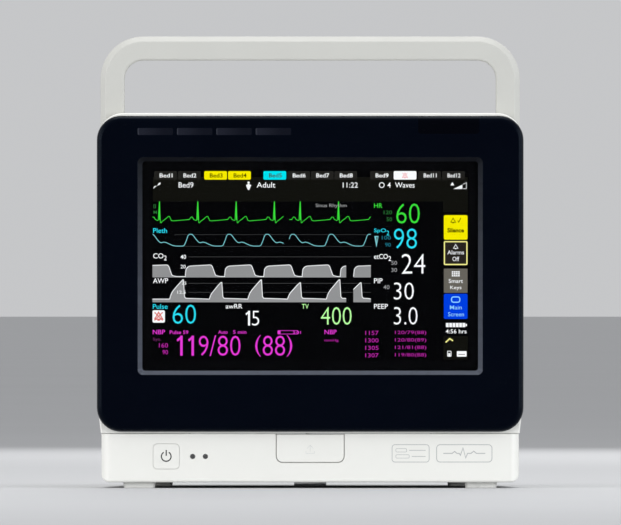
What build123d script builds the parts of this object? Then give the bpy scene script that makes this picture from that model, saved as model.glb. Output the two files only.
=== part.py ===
"""Bedside patient monitor with a 9 inch wide touch display, as an assembly of separate pieces.

Millimetres. X runs to the right seen from the front, Y from the front to the back, Z up.
The origin is on the resting surface, below the middle of the case.
"""
import os
from math import atan2, cos, pi, sin

from build123d import *

# ---------------------------------------------------------------- driving dimensions
DEPTH = 166.0                     # front of the bezel to the back of the case
FRONT, BACK = -DEPTH / 2, DEPTH / 2
TOP = 280.4                       # top of the handle above the resting surface
WALL = 2.8                        # moulded case wall
CLEAR = 0.2                       # gap between pieces that only sit beside each other

BEZEL_W, BEZEL_H, BEZEL_R = 264.6, 196.0, 15.0
BEZEL_LOW = 35.0
BEZEL_Z = BEZEL_LOW + BEZEL_H / 2
BEZEL_PLATE = 3.0                 # thickness of the bezel's front plate
BEZEL_EDGE = 3.6                  # radius round the bezel's front edge

SCREEN_Z = 137.8                  # middle of the display
SCREEN_W, SCREEN_H, SCREEN_R = 214.2, 135.2, 3.8      # bevelled opening, at the front
WINDOW_W, WINDOW_H, WINDOW_R = 208.2, 129.8, 2.0      # the same opening, at the glass
ACTIVE_W, ACTIVE_H = 196.0, 117.6                     # 9 inch, 5:3

RING_FRONT, RING_BACK = -76.0, -36.0                  # white frame behind the bezel
CHASSIS_Y = -58.0                                     # front of the sheet metal chassis
RING_HALF, RING_FOOT_HALF = 131.4, 129.9
RING_TOP, RING_R = 232.7, 15.4
SEAM = 34.0                                           # underside of the upper case
SEAM_GAP = 0.2                                        # shadow gap between the base and the upper case

CASE_HALF, CASE_BACK_HALF = 129.5, 116.0              # plan taper of the case
CASE_TOP, CASE_BACK_TOP = 231.2, 212.0                # side taper of the case
CASE_R = 14.0
BASE_LOW = 3.6                                        # underside of the base, above the feet
FLOOR = 3.0                                           # thickness of the base's floor
BASE_CORNER, BASE_EDGE = 5.0, 1.5                     # lower corners in front view, lower front edge

HANDLE_W, HANDLE_BAR = 260.4, 14.8
HANDLE_R, HANDLE_BEVEL = 26.4, 3.2                    # outer corners, bevel round the outside
HANDLE_FRONT, HANDLE_BACK = -64.0, -38.0
HANDLE_SHOULDER, HANDLE_FOOT = 214.0, 158.0           # where the leg narrows, where it ends
TONGUE = 5.8                                          # thickness of the leg's tongue
HANDLE_SCREW_Y, HANDLE_SCREW_Z = -51.0, (171.0, 198.0)
HANDLE_SEAT = HANDLE_W / 2 - 2.4                      # where the heads of those screws rest

LAMPS, LAMP_W, LAMP_H, LAMP_PITCH = 4, 22.0, 4.4, 24.4
LAMP_X, LAMP_Z = -107.0, 221.2                        # left end and middle of the row
BADGE_X, BADGE_W, BADGE_LOW = 85.9, 38.4, 219.6

KEY_X, KEY_Z, KEY_W, KEY_H, KEY_R = -89.3, 19.7, 16.2, 15.6, 2.6
KEY_GAP, KEY_TRAVEL = 0.15, 0.8
LED_X, LED_R = (-72.9, -65.0), 1.33
FASCIA = 2.6                                          # wall behind the base's front face

KEY_BOARD_Y = RING_FRONT + 14.0                       # face of the board behind the fascia
SWITCH_TIP = KEY_BOARD_Y - 4.7

RELEASE_W, RELEASE_LOW, RELEASE_R = 41.8, 16.1, 3.9
RELEASE_TOP = 33.4
RELEASE_GAP = 0.45
RELEASE_TRAVEL = 3.0
RELEASE_FLANGE = 1.6                                  # back of the key's flange behind the fascia
WEDGE = 8.0                                           # height and length of the 45 degree ramp

FOOT_X, FOOT_Y_FRONT, FOOT_Y_BACK, FOOT_X_BACK = 106.0, -58.0, 58.0, 96.0
FOOT_W, FOOT_D = 20.0, 22.0

BASE_SCREW_X, BASE_SCREW_Y = (120.0, 109.0), (-42.0, 38.0)        # front pair, back pair

DOOR_W, DOOR_LOW, DOOR_TOP, DOOR_THICK = 155.0, 9.2, 32.2, 2.8
BATTERY_W, BATTERY_D, BATTERY_H = 149.0, 89.0, 19.8
BATTERY_Z = 12.3

MOUNT_W, MOUNT_D, MOUNT_SPACING = 116.0, 60.0, (100.0, 40.0)
MOUNT_Y = 4.0
SCREW_R = 2.0                                         # M4

POCKET_X, POCKET_W, POCKET_LOW, POCKET_H, POCKET_D = -14.0, 178.0, 41.0, 34.0, 15.0
IO_Z = POCKET_LOW + POCKET_H / 2
IO_Y = BACK - POCKET_D                                # face of the connector plate

FRONTAL = Plane(origin=(0, 0, 0), x_dir=(1, 0, 0), z_dir=(0, -1, 0))


# ---------------------------------------------------------------- shape helpers
def block(x0, x1, y0, y1, z0, z1):
    """Box between two corners."""
    return Pos((x0 + x1) / 2, (y0 + y1) / 2, (z0 + z1) / 2) * Box(x1 - x0, y1 - y0, z1 - z0)


def along_y(face, y0, y1):
    """Extrudes a face drawn in X and Z from y0 to y1."""
    return extrude(FRONTAL.offset(-y0) * face, amount=y0 - y1)


def along_x(face, x0, x1):
    """Extrudes a face drawn in Y and Z from x0 to x1."""
    return extrude(Plane.YZ.offset(x0) * face, amount=x1 - x0)


def along_z(face, z0, z1):
    """Extrudes a face drawn in X and Y from z0 to z1."""
    return extrude(Plane.XY.offset(z0) * face, amount=z1 - z0)


def slab(width, height, radius, x, z, y0, y1):
    """Plate with rounded corners that faces the front."""
    return along_y(Pos(x, z) * RectangleRounded(width, height, radius), y0, y1)


def rod_y(x, z, radius, y0, y1):
    return along_y(Pos(x, z) * Circle(radius), y0, y1)


def rod_x(y, z, radius, x0, x1):
    return along_x(Pos(y, z) * Circle(radius), x0, x1)


def rod_z(x, y, radius, z0, z1):
    return along_z(Pos(x, y) * Circle(radius), z0, z1)


def outline(*points):
    return make_face(Polyline(*points, close=True))


def edges_at(shape, axis, value, tolerance=0.01):
    """Edges that lie wholly in the plane where axis equals value."""
    return shape.edges().filter_by_position(axis, value - tolerance, value + tolerance)


def group(pieces):
    return Compound(children=list(pieces))


def both_sides(piece):
    """A piece and its mirror image in the middle plane."""
    return [piece, mirror(piece, about=Plane.YZ)]


def screw_y(x, z, head_y, length, radius=SCREW_R):
    """Pan head screw driven from the back towards the front; its head sits on head_y."""
    head = rod_y(x, z, radius * 1.9, head_y, head_y + radius * 1.2)
    recess = along_y(Pos(x, z) * RegularPolygon(radius * 0.8, 6), head_y + radius * 0.5,
                     head_y + radius * 2)
    return head - recess + rod_y(x, z, radius, head_y - length, head_y)


# ---------------------------------------------------------------- bezel and display
def bezel_blank():
    body = slab(BEZEL_W, BEZEL_H, BEZEL_R, 0, BEZEL_Z, FRONT, RING_FRONT)
    return fillet(edges_at(body, Axis.Y, FRONT), BEZEL_EDGE)


def badge_tab():
    """Thin blank tab let into the bezel, which follows its rounded top edge."""
    depth = 0.7
    column = along_y(
        Pos(BADGE_X, BADGE_LOW + 20) * RectangleRounded(BADGE_W, 40, 2.2), FRONT, FRONT + 5)
    blank = bezel_blank()
    return column & (blank - Pos(0, depth, -depth) * blank)


def lamp_centre(index):
    return LAMP_X + LAMP_W / 2 + index * LAMP_PITCH


def alarm_lens():
    """Smoked lens strip: four raised windows on one flange behind the bezel's front plate."""
    middle = (lamp_centre(0) + lamp_centre(LAMPS - 1)) / 2
    length = LAMP_PITCH * (LAMPS - 1) + LAMP_W + 2
    body = slab(length, LAMP_H + 2.2, 0.8, middle, LAMP_Z, FRONT + BEZEL_PLATE,
                FRONT + BEZEL_PLATE + 1.2)
    for index in range(LAMPS):
        body += slab(LAMP_W - 0.1, LAMP_H - 0.1, 0.75, lamp_centre(index), LAMP_Z, FRONT,
                     FRONT + BEZEL_PLATE)
    return body


def front_bezel():
    """Dark moulded frame round the display, with screw bosses on its back."""
    body = bezel_blank()
    inner = slab(BEZEL_W - 2 * WALL, BEZEL_H - 2 * WALL, BEZEL_R - WALL, 0, BEZEL_Z,
                 FRONT + BEZEL_PLATE, RING_FRONT)
    opening = loft([
        FRONTAL.offset(-FRONT) * Pos(0, SCREEN_Z) * RectangleRounded(SCREEN_W, SCREEN_H, SCREEN_R),
        FRONTAL.offset(-(FRONT + BEZEL_PLATE)) * Pos(0, SCREEN_Z)
        * RectangleRounded(WINDOW_W, WINDOW_H, WINDOW_R),
    ], ruled=True)
    body = body - inner - opening - badge_tab()
    for index in range(LAMPS):
        body -= slab(LAMP_W, LAMP_H, 0.8, lamp_centre(index), LAMP_Z, FRONT, FRONT + BEZEL_PLATE)
    for x, z in bezel_boss_places():
        body += rod_y(x, z, 3.6, FRONT + BEZEL_PLATE, RING_FRONT)
        body -= rod_y(x, z, 1.5, FRONT + BEZEL_PLATE, RING_FRONT)
    return body


def bezel_boss_places():
    return [(side * 118.0, z) for side in (-1, 1) for z in (46.0, 133.0, 205.0)]


def screen_gasket():
    """Foam seal between the bezel and the touch glass."""
    y0 = FRONT + BEZEL_PLATE
    return (slab(SCREEN_W + 2, SCREEN_H + 2, 3, 0, SCREEN_Z, y0, y0 + 0.8)
            - slab(WINDOW_W + 0.6, WINDOW_H + 0.6, 2, 0, SCREEN_Z, y0, y0 + 0.8))


GLASS_FRONT = FRONT + BEZEL_PLATE + 0.8
GLASS_BACK = GLASS_FRONT + 1.8
CELL_FRONT = GLASS_BACK + 0.3     # air gap between the glass and the cell
CELL_BACK = CELL_FRONT + 1.4


def touch_glass():
    return slab(SCREEN_W + 3, SCREEN_H + 3, 2.5, 0, SCREEN_Z, GLASS_FRONT, GLASS_BACK)


def lcd_cell():
    return slab(ACTIVE_W + 8, ACTIVE_H + 8, 0.8, 0, SCREEN_Z, CELL_FRONT, CELL_BACK)


def lcd_backlight():
    """Light guide and reflector tray behind the cell."""
    tray = slab(ACTIVE_W + 12, ACTIVE_H + 12, 1.5, 0, SCREEN_Z, CELL_BACK, CELL_BACK + 5.0)
    ribs = [block(x - 1, x + 1, CELL_BACK + 4.2, CELL_BACK + 5.0, SCREEN_Z - 60, SCREEN_Z + 60)
            for x in range(-90, 91, 20)]
    for rib in ribs:
        tray -= rib
    return tray


def lcd_bracket():
    """Sheet metal frame that carries the display, with pressed spacers to the chassis."""
    y0 = CELL_BACK + 5.0
    plate = slab(SCREEN_W, SCREEN_H, 3, 0, SCREEN_Z, y0, y0 + 1.2)
    plate -= slab(SCREEN_W - 50, SCREEN_H - 50, 8, 0, SCREEN_Z, y0, y0 + 1.2)
    for x in (-100, 100):
        for z in (-45, 45):
            plate += rod_y(x, SCREEN_Z + z, 3, y0, CHASSIS_Y)
    return plate


def alarm_board():
    """Circuit board behind the alarm lamps, with two light emitters to each lamp."""
    y0 = RING_FRONT + 2.5
    left, right = LAMP_X, lamp_centre(LAMPS - 1) + LAMP_W / 2
    board = block(left, right, y0, y0 + 1.6, LAMP_Z - 6.5, LAMP_Z + 6.5)
    emitters = [block(lamp_centre(i) + s * 5 - 1.5, lamp_centre(i) + s * 5 + 1.5, y0 - 1.2, y0,
                      LAMP_Z - 1.3, LAMP_Z + 1.3) for i in range(LAMPS) for s in (-1, 1)]
    return board + emitters


# ---------------------------------------------------------------- upper case
def ring_outline():
    """Front view of the frame: it flares a little above its foot and has rounded top corners."""
    flare = SEAM + 14
    face = outline((-RING_FOOT_HALF, SEAM), (RING_FOOT_HALF, SEAM), (RING_HALF, flare),
                   (RING_HALF, RING_TOP), (-RING_HALF, RING_TOP), (-RING_HALF, flare))
    face = fillet(face.vertices().group_by(Axis.Y)[-1], RING_R)
    return fillet([v for v in face.vertices() if abs(v.Y - flare) < 0.01], 60)


def leg_profile(grow):
    """Side view of the handle's legs, with a rounded lower end, grown by a gap all round."""
    low, high = HANDLE_FOOT - grow, TOP + 20
    return (Pos((HANDLE_FRONT + HANDLE_BACK) / 2, (low + high) / 2)
            * RectangleRounded(HANDLE_BACK - HANDLE_FRONT + 2 * grow, high - low, 6 + grow))


def handle_channel():
    """Space that one of the handle's legs takes in the frame."""
    upper = block(HANDLE_W / 2 - HANDLE_BAR - CLEAR, RING_HALF + 1, HANDLE_FRONT - CLEAR,
                  HANDLE_BACK + CLEAR, HANDLE_SHOULDER - CLEAR, RING_TOP + 1)
    return upper + along_x(leg_profile(CLEAR), HANDLE_W / 2 - TONGUE - CLEAR, RING_HALF + 1)


def front_frame():
    """White frame between the bezel and the rear housing."""
    body = along_y(ring_outline(), RING_FRONT, RING_BACK)
    body = fillet(edges_at(body, Axis.Y, RING_FRONT), 0.9)
    y0 = RING_FRONT + 2.5
    low = SEAM + 2
    body -= block(-RING_HALF + WALL, RING_HALF - WALL, y0, RING_BACK, low, HANDLE_FOOT - 4)
    body -= block(-121.2, 121.2, y0, RING_BACK, low, HANDLE_SHOULDER - 3)
    body -= block(-112.4, 112.4, y0, RING_BACK, low, RING_TOP - WALL)
    body -= slab(SCREEN_W + 5, SCREEN_H + 5, 4, 0, SCREEN_Z, RING_FRONT, y0)
    body -= block(LAMP_X - 1, lamp_centre(3) + 12, RING_FRONT, y0, LAMP_Z - 5, LAMP_Z + 5)
    for channel in both_sides(handle_channel()):
        body -= channel
    for x, z in bezel_boss_places():
        body -= rod_y(x, z, 1.7, RING_FRONT, y0)
    x, y = BASE_SCREW_X[0], BASE_SCREW_Y[0]
    post = block(x - 6, RING_FOOT_HALF - 1.2, y - 5.5, y + 5, SEAM, SEAM + 14)
    hole = rod_z(x, y, SCREW_R + 0.05, SEAM, SEAM + 12)
    body = body + both_sides(post) - both_sides(hole)
    for x, z in chassis_boss_places():
        body += rod_y(x, z, 3.5, RING_FRONT + 1, CHASSIS_Y)
    for z in HANDLE_SCREW_Z:
        body -= rod_x(HANDLE_SCREW_Y, z, 1.6, -RING_HALF, RING_HALF)
    return body


def chassis_boss_places():
    return [(side * 113.5, z) for side in (-1, 1) for z in (62.0, 150.0, 192.0)]


def taper_half(y, inset=0.0):
    """Half width of the case at a depth y behind the frame."""
    return CASE_HALF - (CASE_HALF - CASE_BACK_HALF) * (y - RING_BACK) / (BACK - RING_BACK) - inset


def hood(inset):
    """Tapered upper case as a solid, moved in by inset on every outer side."""
    back = BACK - inset
    plan = outline((-taper_half(RING_BACK, inset), RING_BACK), (-taper_half(back, inset), back),
                   (taper_half(back, inset), back), (taper_half(RING_BACK, inset), RING_BACK))
    side = outline((RING_BACK, SEAM), (back, SEAM), (back, CASE_BACK_TOP - inset),
                   (RING_BACK, CASE_TOP - inset))
    body = along_z(plan, SEAM, TOP) & along_x(side, -CASE_HALF - 1, CASE_HALF + 1)
    top = [e for e in body.edges() if e.center().Z > CASE_BACK_TOP - inset - 1
           and e.center().Y > RING_BACK + 1]
    rear = [e for e in body.edges() if abs(e.center().Y - back) < 0.5
            and SEAM + 5 < e.center().Z < CASE_BACK_TOP - inset - 5]
    return fillet(top + rear, CASE_R - inset)


# The left wall of the case, as a plane whose local z points out of the case, x to the front, y up.
TAPER = atan2(CASE_HALF - CASE_BACK_HALF, BACK - RING_BACK)
SIDE_Y, SIDE_Z = 24.0, 112.0
SIDE = Plane(origin=(-taper_half(SIDE_Y), SIDE_Y, SIDE_Z),
             x_dir=(-sin(TAPER), -cos(TAPER), 0), z_dir=(-cos(TAPER), sin(TAPER), 0))
PANEL_W, PANEL_H = 84.0, 124.0
PANEL_Z = -WALL                                       # face of the panel, in the side's frame


def on_side(shape):
    """Moves a shape drawn in the side wall's frame to its place."""
    return SIDE.location * shape


def side_slab(width, height, radius, x, y, z0, z1):
    return on_side(extrude(Pos(x, y, z0) * RectangleRounded(width, height, radius),
                           amount=z1 - z0))


def side_rod(x, y, radius, z0, z1):
    return on_side(extrude(Pos(x, y, z0) * Circle(radius), amount=z1 - z0))


SUPPLY_BACK = 60.0
REAR_POSTS = [(-98.0, 198.0), (98.0, 198.0), (-74.0, 86.0), (103.0, 86.0)]
SPEAKER_X, SPEAKER_Z, SPEAKER_R = 66.0, 112.0, 25.0
VENT_X, VENT_W, VENT_LOW, VENT_PITCH, VENTS = (-42.0, 42.0), 66.0, 152.0, 6.2, 8
PLATE_X, PLATE_Z, PLATE_W, PLATE_H = -46.0, 112.0, 52.0, 26.0     # blank rating plate
SUPPLY_BOSSES = [(-54.0, 91.0), (30.0, 91.0), (-54.0, 141.0), (54.0, 141.0)]


def grille_holes():
    """Round holes in rings in front of the loudspeaker."""
    holes = [rod_y(SPEAKER_X, SPEAKER_Z, 1.3, BACK - 4, BACK + 1)]
    for ring in range(1, 5):
        count = 6 * ring
        for k in range(count):
            angle = 2 * pi * k / count
            holes.append(rod_y(SPEAKER_X + 4.8 * ring * cos(angle),
                               SPEAKER_Z + 4.8 * ring * sin(angle), 1.3, BACK - 4, BACK + 1))
    return holes


def rear_housing():
    """Tapered rear shell with its connector windows, vents and a recessed connector bay."""
    x0, x1 = POCKET_X - POCKET_W / 2, POCKET_X + POCKET_W / 2
    bay_wall = 2.4
    cavity = hood(WALL)
    cavity -= block(x0 - bay_wall, x1 + bay_wall, IO_Y - bay_wall, BACK,
                    POCKET_LOW - bay_wall, POCKET_LOW + POCKET_H + bay_wall)
    body = hood(0) - cavity
    body -= slab(POCKET_W, POCKET_H, 4, POCKET_X, IO_Z, IO_Y, BACK + 1)
    body -= slab(POCKET_W - 8, POCKET_H - 8, 2, POCKET_X, IO_Z, IO_Y - bay_wall, IO_Y)
    body -= side_slab(PANEL_W, PANEL_H, 7, 0, 0, -WALL - 1, 2)
    for x in VENT_X:
        for row in range(VENTS):
            body -= slab(VENT_W, 2.6, 1.25, x, VENT_LOW + row * VENT_PITCH, BACK - 5, BACK + 1)
    body -= grille_holes()
    body -= slab(7, 3, 0.8, 90, 56, BACK - 5, BACK + 1)       # security cable slot
    body -= slab(PLATE_W, PLATE_H, 2, PLATE_X, PLATE_Z, BACK - 0.3, BACK + 1)
    for x, z in SUPPLY_BOSSES:
        body += rod_y(x, z, 3.5, SUPPLY_BACK, BACK - 1)
    for x, z in REAR_POSTS:
        seat = rod_y(x, z, 6.0, BACK - 9, BACK - 1)
        body += seat
        body -= rod_y(x, z, 4.2, BACK - 4.5, BACK + 1)
        body -= rod_y(x, z, SCREW_R + 0.2, BACK - 9, BACK)
    x, y = BASE_SCREW_X[1], BASE_SCREW_Y[1]
    boss = block(x - 6, taper_half(y + 5) - 1, y - 5, y + 5, SEAM, SEAM + 12.6)
    hole = rod_z(x, y, SCREW_R + 0.05, SEAM, SEAM + 12)
    return body + both_sides(boss) - both_sides(hole)


def carry_handle():
    """Fixed bail: a rounded bar with two legs that narrow to tongues down the frame's sides."""
    gap_w = HANDLE_W - 2 * HANDLE_BAR
    full = slab(HANDLE_W, 2 * (TOP - HANDLE_FOOT), HANDLE_R, 0, HANDLE_FOOT, HANDLE_FRONT,
                HANDLE_BACK)
    gap = slab(gap_w, 2 * (TOP - HANDLE_BAR - HANDLE_FOOT), HANDLE_R - HANDLE_BAR, 0,
               HANDLE_FOOT, HANDLE_FRONT, HANDLE_BACK)
    faces = (HANDLE_FRONT, HANDLE_BACK)
    full = chamfer([e for y in faces for e in edges_at(full, Axis.Y, y)], HANDLE_BEVEL)
    rims = faces + (HANDLE_FRONT + HANDLE_BEVEL, HANDLE_BACK - HANDLE_BEVEL)
    full = fillet([e for y in rims for e in edges_at(full, Axis.Y, y)], 1.0)
    body = full - gap
    inner = [e for y in faces for e in edges_at(body, Axis.Y, y)
             if abs(e.center().X) < gap_w / 2 + 0.5 and e.center().Z < TOP - HANDLE_BAR + 0.5]
    body = fillet(inner, 1.2)
    half = HANDLE_W / 2 - TONGUE
    body -= block(-half, half, HANDLE_FRONT - 1, HANDLE_BACK + 1, 0, HANDLE_SHOULDER)
    body &= along_x(leg_profile(0), -HANDLE_W, HANDLE_W)
    for z in HANDLE_SCREW_Z:
        body -= both_sides(rod_x(HANDLE_SCREW_Y, z, 1.7, half, HANDLE_W / 2))
        body -= both_sides(rod_x(HANDLE_SCREW_Y, z, 3.3, HANDLE_SEAT, HANDLE_W / 2))
    return body


def handle_screws():
    """Four screws that hold the handle's tongues to the frame."""
    y, seat = HANDLE_SCREW_Y, HANDLE_SEAT
    made = []
    for z in HANDLE_SCREW_Z:
        head = rod_x(y, z, 2.8, seat, seat + 1.9)
        head -= along_x(Pos(y, z) * RegularPolygon(1.25, 6), seat + 0.8, seat + 2)
        made += both_sides(head + rod_x(y, z, 1.5, seat - 10, seat))
    return group(made)


def bezel_screws():
    """Six screws through the frame's front wall into the bezel's bosses."""
    return group(screw_y(x, z, RING_FRONT + 2.5, 6.0, 1.4) for x, z in bezel_boss_places())


# ---------------------------------------------------------------- base
def base_outline(inset):
    """Plan of the base: straight sides beside the frame, then the case's taper."""
    front, back = RING_FRONT + inset, BACK - inset
    half, back_half = CASE_HALF - inset, CASE_BACK_HALF - inset
    face = outline((-half, front), (half, front), (half, RING_BACK), (back_half, back),
                   (-back_half, back), (-half, RING_BACK))
    face = fillet(face.vertices().group_by(Axis.Y)[0], 5.5 - inset)
    face = fillet([v for v in face.vertices() if abs(v.Y - RING_BACK) < 0.01], 80)
    return fillet([v for v in face.vertices() if abs(v.Y - back) < 0.01], CASE_R - inset)


BASE_SCREWS = [(side * x, y) for side in (-1, 1) for x, y in zip(BASE_SCREW_X, BASE_SCREW_Y)]
BOLT_Y0, BOLT_Y1, BOLT_HALF = -54.0, -48.0, 10.0
BOLT_TIP, BOLT_TOP = 1.0, 24.0
ARM_HALF, ARM_LOW = 6.0, 18.0
RAMP_BACK = BOLT_Y0 - 4.0                              # tip of the release key's ramp


def base_tray():
    """Base with the front fascia, the battery opening, the mount window and the latch slot."""
    rim = SEAM - SEAM_GAP
    floor = BASE_LOW + FLOOR
    section = outline((-CASE_HALF, BASE_LOW), (CASE_HALF, BASE_LOW), (CASE_HALF, rim),
                      (-CASE_HALF, rim))
    section = fillet(section.vertices().group_by(Axis.Y)[0], BASE_CORNER)
    body = along_z(base_outline(0), BASE_LOW, rim) & along_y(section, FRONT, BACK)
    front = [e for e in body.edges() if e.center().Y < RING_FRONT + 5
             and e.center().Z < BASE_LOW + BASE_CORNER + 0.1]
    body = fillet(front, BASE_EDGE)
    body = chamfer(edges_at(body, Axis.Z, rim), 0.2)
    body -= along_z(base_outline(FASCIA), floor, rim)
    for x, y in BASE_SCREWS:
        body += rod_z(x, y, 5.2, floor, SEAM)
        body -= rod_z(x, y, SCREW_R + 0.2, BASE_LOW, SEAM)
        body -= rod_z(x, y, 4.2, BASE_LOW, BASE_LOW + 4)
    # controls in the front face
    body -= slab(KEY_W + 2 * KEY_GAP, KEY_H + 2 * KEY_GAP, KEY_R + KEY_GAP, KEY_X, KEY_Z,
                 RING_FRONT, RING_FRONT + 4)
    for x in LED_X:
        body -= rod_y(x, KEY_Z, LED_R + 0.05, RING_FRONT, RING_FRONT + 4)
    half = RELEASE_W / 2 + RELEASE_GAP
    low = RELEASE_LOW - RELEASE_GAP
    body -= along_y(Pos(0, (low + SEAM + 20) / 2)
                    * RectangleRounded(2 * half, SEAM + 20 - low, RELEASE_R + RELEASE_GAP),
                    RING_FRONT, RING_FRONT + 4)
    # battery opening in the back wall, mount window and latch slot in the floor
    body -= block(-DOOR_W / 2 - 0.4, DOOR_W / 2 + 0.4, BACK - 5, BACK + 1, DOOR_LOW - 0.3,
                  DOOR_TOP + 0.4)
    body -= block(-MOUNT_W / 2, MOUNT_W / 2, MOUNT_Y - MOUNT_D / 2, MOUNT_Y + MOUNT_D / 2,
                  BASE_LOW, floor)
    body -= block(-BOLT_HALF - 0.3, BOLT_HALF + 0.3, BOLT_Y0 - 0.2, BOLT_Y1 + 0.2, BASE_LOW, floor)
    for x, y in foot_places():
        body -= rod_z(x, y, 2.6, BASE_LOW, floor)
    # ribs under the battery cradle, stops behind the key board, guides for the release key's arm
    for y in (44.0, 58.0, 72.0):
        body += block(-66, 66, y - 1, y + 1, floor, BATTERY_Z - 1.5)
    for x in (-99.0, -61.0):
        body += block(x - 2, x + 2, KEY_BOARD_Y + 1.6, KEY_BOARD_Y + 4, floor, 20)
    wall_front = RING_FRONT + FASCIA + RELEASE_FLANGE + RELEASE_TRAVEL + 0.4
    for wall in both_sides(block(ARM_HALF + 0.3, ARM_HALF + 2.3, wall_front, -60, floor, 24)):
        body += wall
    for end in both_sides(block(DOOR_W / 2 + 0.4, DOOR_W / 2 + 4.4, BACK - 8, BACK - FASCIA,
                                floor, DOOR_TOP)):
        body += end
    for x in (-1, 1):
        body -= rod_x(DOOR_AXIS_Y, DOOR_AXIS_Z, 0.8, x * DOOR_W / 2 - 4, x * DOOR_W / 2 + 4)
    return body


def foot_places():
    return [(-FOOT_X, FOOT_Y_FRONT), (FOOT_X, FOOT_Y_FRONT), (-FOOT_X_BACK, FOOT_Y_BACK),
            (FOOT_X_BACK, FOOT_Y_BACK)]


def rubber_foot(x, y):
    """Tapered foot with a peg that snaps into the floor."""
    pad = loft([Plane.XY.offset(BASE_LOW) * Pos(x, y) * RectangleRounded(FOOT_W, FOOT_D, 2.5),
                Pos(x, y) * RectangleRounded(FOOT_W - 0.8, FOOT_D - 0.8, 2.1)], ruled=True)
    pad = fillet(edges_at(pad, Axis.Z, 0), 0.5)
    return pad + rod_z(x, y, 2.5, BASE_LOW, BASE_LOW + FLOOR + 1)


def rubber_feet():
    return group(rubber_foot(x, y) for x, y in foot_places())


def base_screws():
    """Four screws from below, which join the base to the upper case."""
    made = []
    for x, y in BASE_SCREWS:
        seat = BASE_LOW + 4
        head = rod_z(x, y, 3.8, seat - 2.6, seat)
        head -= along_z(Pos(x, y) * RegularPolygon(1.6, 6), seat - 2.6, seat - 1)
        made.append(head + rod_z(x, y, SCREW_R, seat, SEAM + 10))
    return group(made)


def mount_plate():
    """Aluminium plate flush with the underside, with four tapped holes for a stand adapter."""
    y0, y1 = MOUNT_Y - MOUNT_D / 2, MOUNT_Y + MOUNT_D / 2
    gap = 0.15
    plate = block(-MOUNT_W / 2 + gap, MOUNT_W / 2 - gap, y0 + gap, y1 - gap, BASE_LOW,
                  BASE_LOW + FLOOR)
    plate += block(-MOUNT_W / 2 - 5, MOUNT_W / 2 + 5, y0 - 4, y1 + 4, BASE_LOW + FLOOR,
                   BASE_LOW + FLOOR + 2)
    for x in (-1, 1):
        for y in (-1, 1):
            plate -= rod_z(x * MOUNT_SPACING[0] / 2, MOUNT_Y + y * MOUNT_SPACING[1] / 2, SCREW_R,
                           BASE_LOW - 1, BASE_LOW + FLOOR + 3)
    return plate


def power_key():
    """Flush key with a retaining flange and a plunger on its back."""
    y0 = RING_FRONT
    cap = slab(KEY_W, KEY_H, KEY_R, KEY_X, KEY_Z, y0, y0 + FASCIA + 0.2)
    cap = fillet(edges_at(cap, Axis.Y, y0), 0.2)
    flange = slab(KEY_W + 2.6, KEY_H + 2.6, 3, KEY_X, KEY_Z, y0 + FASCIA + 0.2, y0 + FASCIA + 1.4)
    plunger_end = SWITCH_TIP - KEY_TRAVEL - 0.1
    return cap + flange + rod_y(KEY_X, KEY_Z, 2.5, y0 + FASCIA + 1.4, plunger_end)


def key_board():
    """Small circuit board that carries the power switch and the two status emitters."""
    board = block(-103, -57, KEY_BOARD_Y, KEY_BOARD_Y + 1.6, 8, 31)
    emitters = [block(x - 1.4, x + 1.4, KEY_BOARD_Y - 1, KEY_BOARD_Y, KEY_Z - 1, KEY_Z + 1)
                for x in LED_X]
    return board + emitters


def power_switch():
    """Tactile switch behind the power key."""
    body = slab(6, 6, 0.5, KEY_X, KEY_Z, KEY_BOARD_Y - 3.5, KEY_BOARD_Y)
    return body + rod_y(KEY_X, KEY_Z, 1.7, SWITCH_TIP, KEY_BOARD_Y - 3.5)


def status_lights():
    """Two light pipes from the status emitters to the front face, joined by a bridge."""
    y0 = RING_FRONT
    body = block(LED_X[0] - 3, LED_X[1] + 3, y0 + FASCIA, y0 + FASCIA + 1.2, KEY_Z - 3, KEY_Z + 3)
    for x in LED_X:
        pipe = rod_y(x, KEY_Z, LED_R, y0, KEY_BOARD_Y - 1.2)
        body += fillet(edges_at(pipe, Axis.Y, y0), 0.25)
    return body


def release_key():
    """Flush key for the quick mount latch, with an arm that ends in a 45 degree ramp."""
    y0 = RING_FRONT
    plate = along_y(Pos(0, (RELEASE_LOW + RELEASE_TOP + 12) / 2)
                    * RectangleRounded(RELEASE_W, RELEASE_TOP + 12 - RELEASE_LOW, RELEASE_R),
                    y0, y0 + FASCIA + 0.2)
    plate &= block(-RELEASE_W, RELEASE_W, y0, y0 + 8, 0, RELEASE_TOP)
    plate = fillet(edges_at(plate, Axis.Y, y0), 0.45)
    y1 = y0 + FASCIA + RELEASE_FLANGE
    flange = block(-RELEASE_W / 2 - 2.2, RELEASE_W / 2 + 2.2, y0 + FASCIA + 0.2, y1,
                   RELEASE_LOW - 2.5, RELEASE_TOP)
    arm = along_x(outline((y1, ARM_LOW), (RAMP_BACK, ARM_LOW), (RAMP_BACK - WEDGE, ARM_LOW + WEDGE),
                          (y1, ARM_LOW + WEDGE)), -ARM_HALF, ARM_HALF)
    return plate + flange + arm


def latch_bolt():
    """Bolt that locks a stand adapter; the release key's ramp lifts it."""
    gap = 0.07
    shank = block(-BOLT_HALF, BOLT_HALF, BOLT_Y0, BOLT_Y1, BOLT_TIP, BOLT_TOP)
    shank = chamfer(edges_at(shank, Axis.Z, BOLT_TIP).sort_by(Axis.Y)[0:1], 1.5)
    ledge = along_x(outline(
        (BOLT_Y0, ARM_LOW + gap), (RAMP_BACK, ARM_LOW + gap),
        (RAMP_BACK - WEDGE + 2, ARM_LOW + WEDGE - 2 + gap),
        (RAMP_BACK - WEDGE + 2, ARM_LOW + WEDGE + 2), (BOLT_Y0, ARM_LOW + WEDGE + 2)),
        -ARM_HALF + 0.5, ARM_HALF - 0.5)
    return shank + ledge


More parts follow.
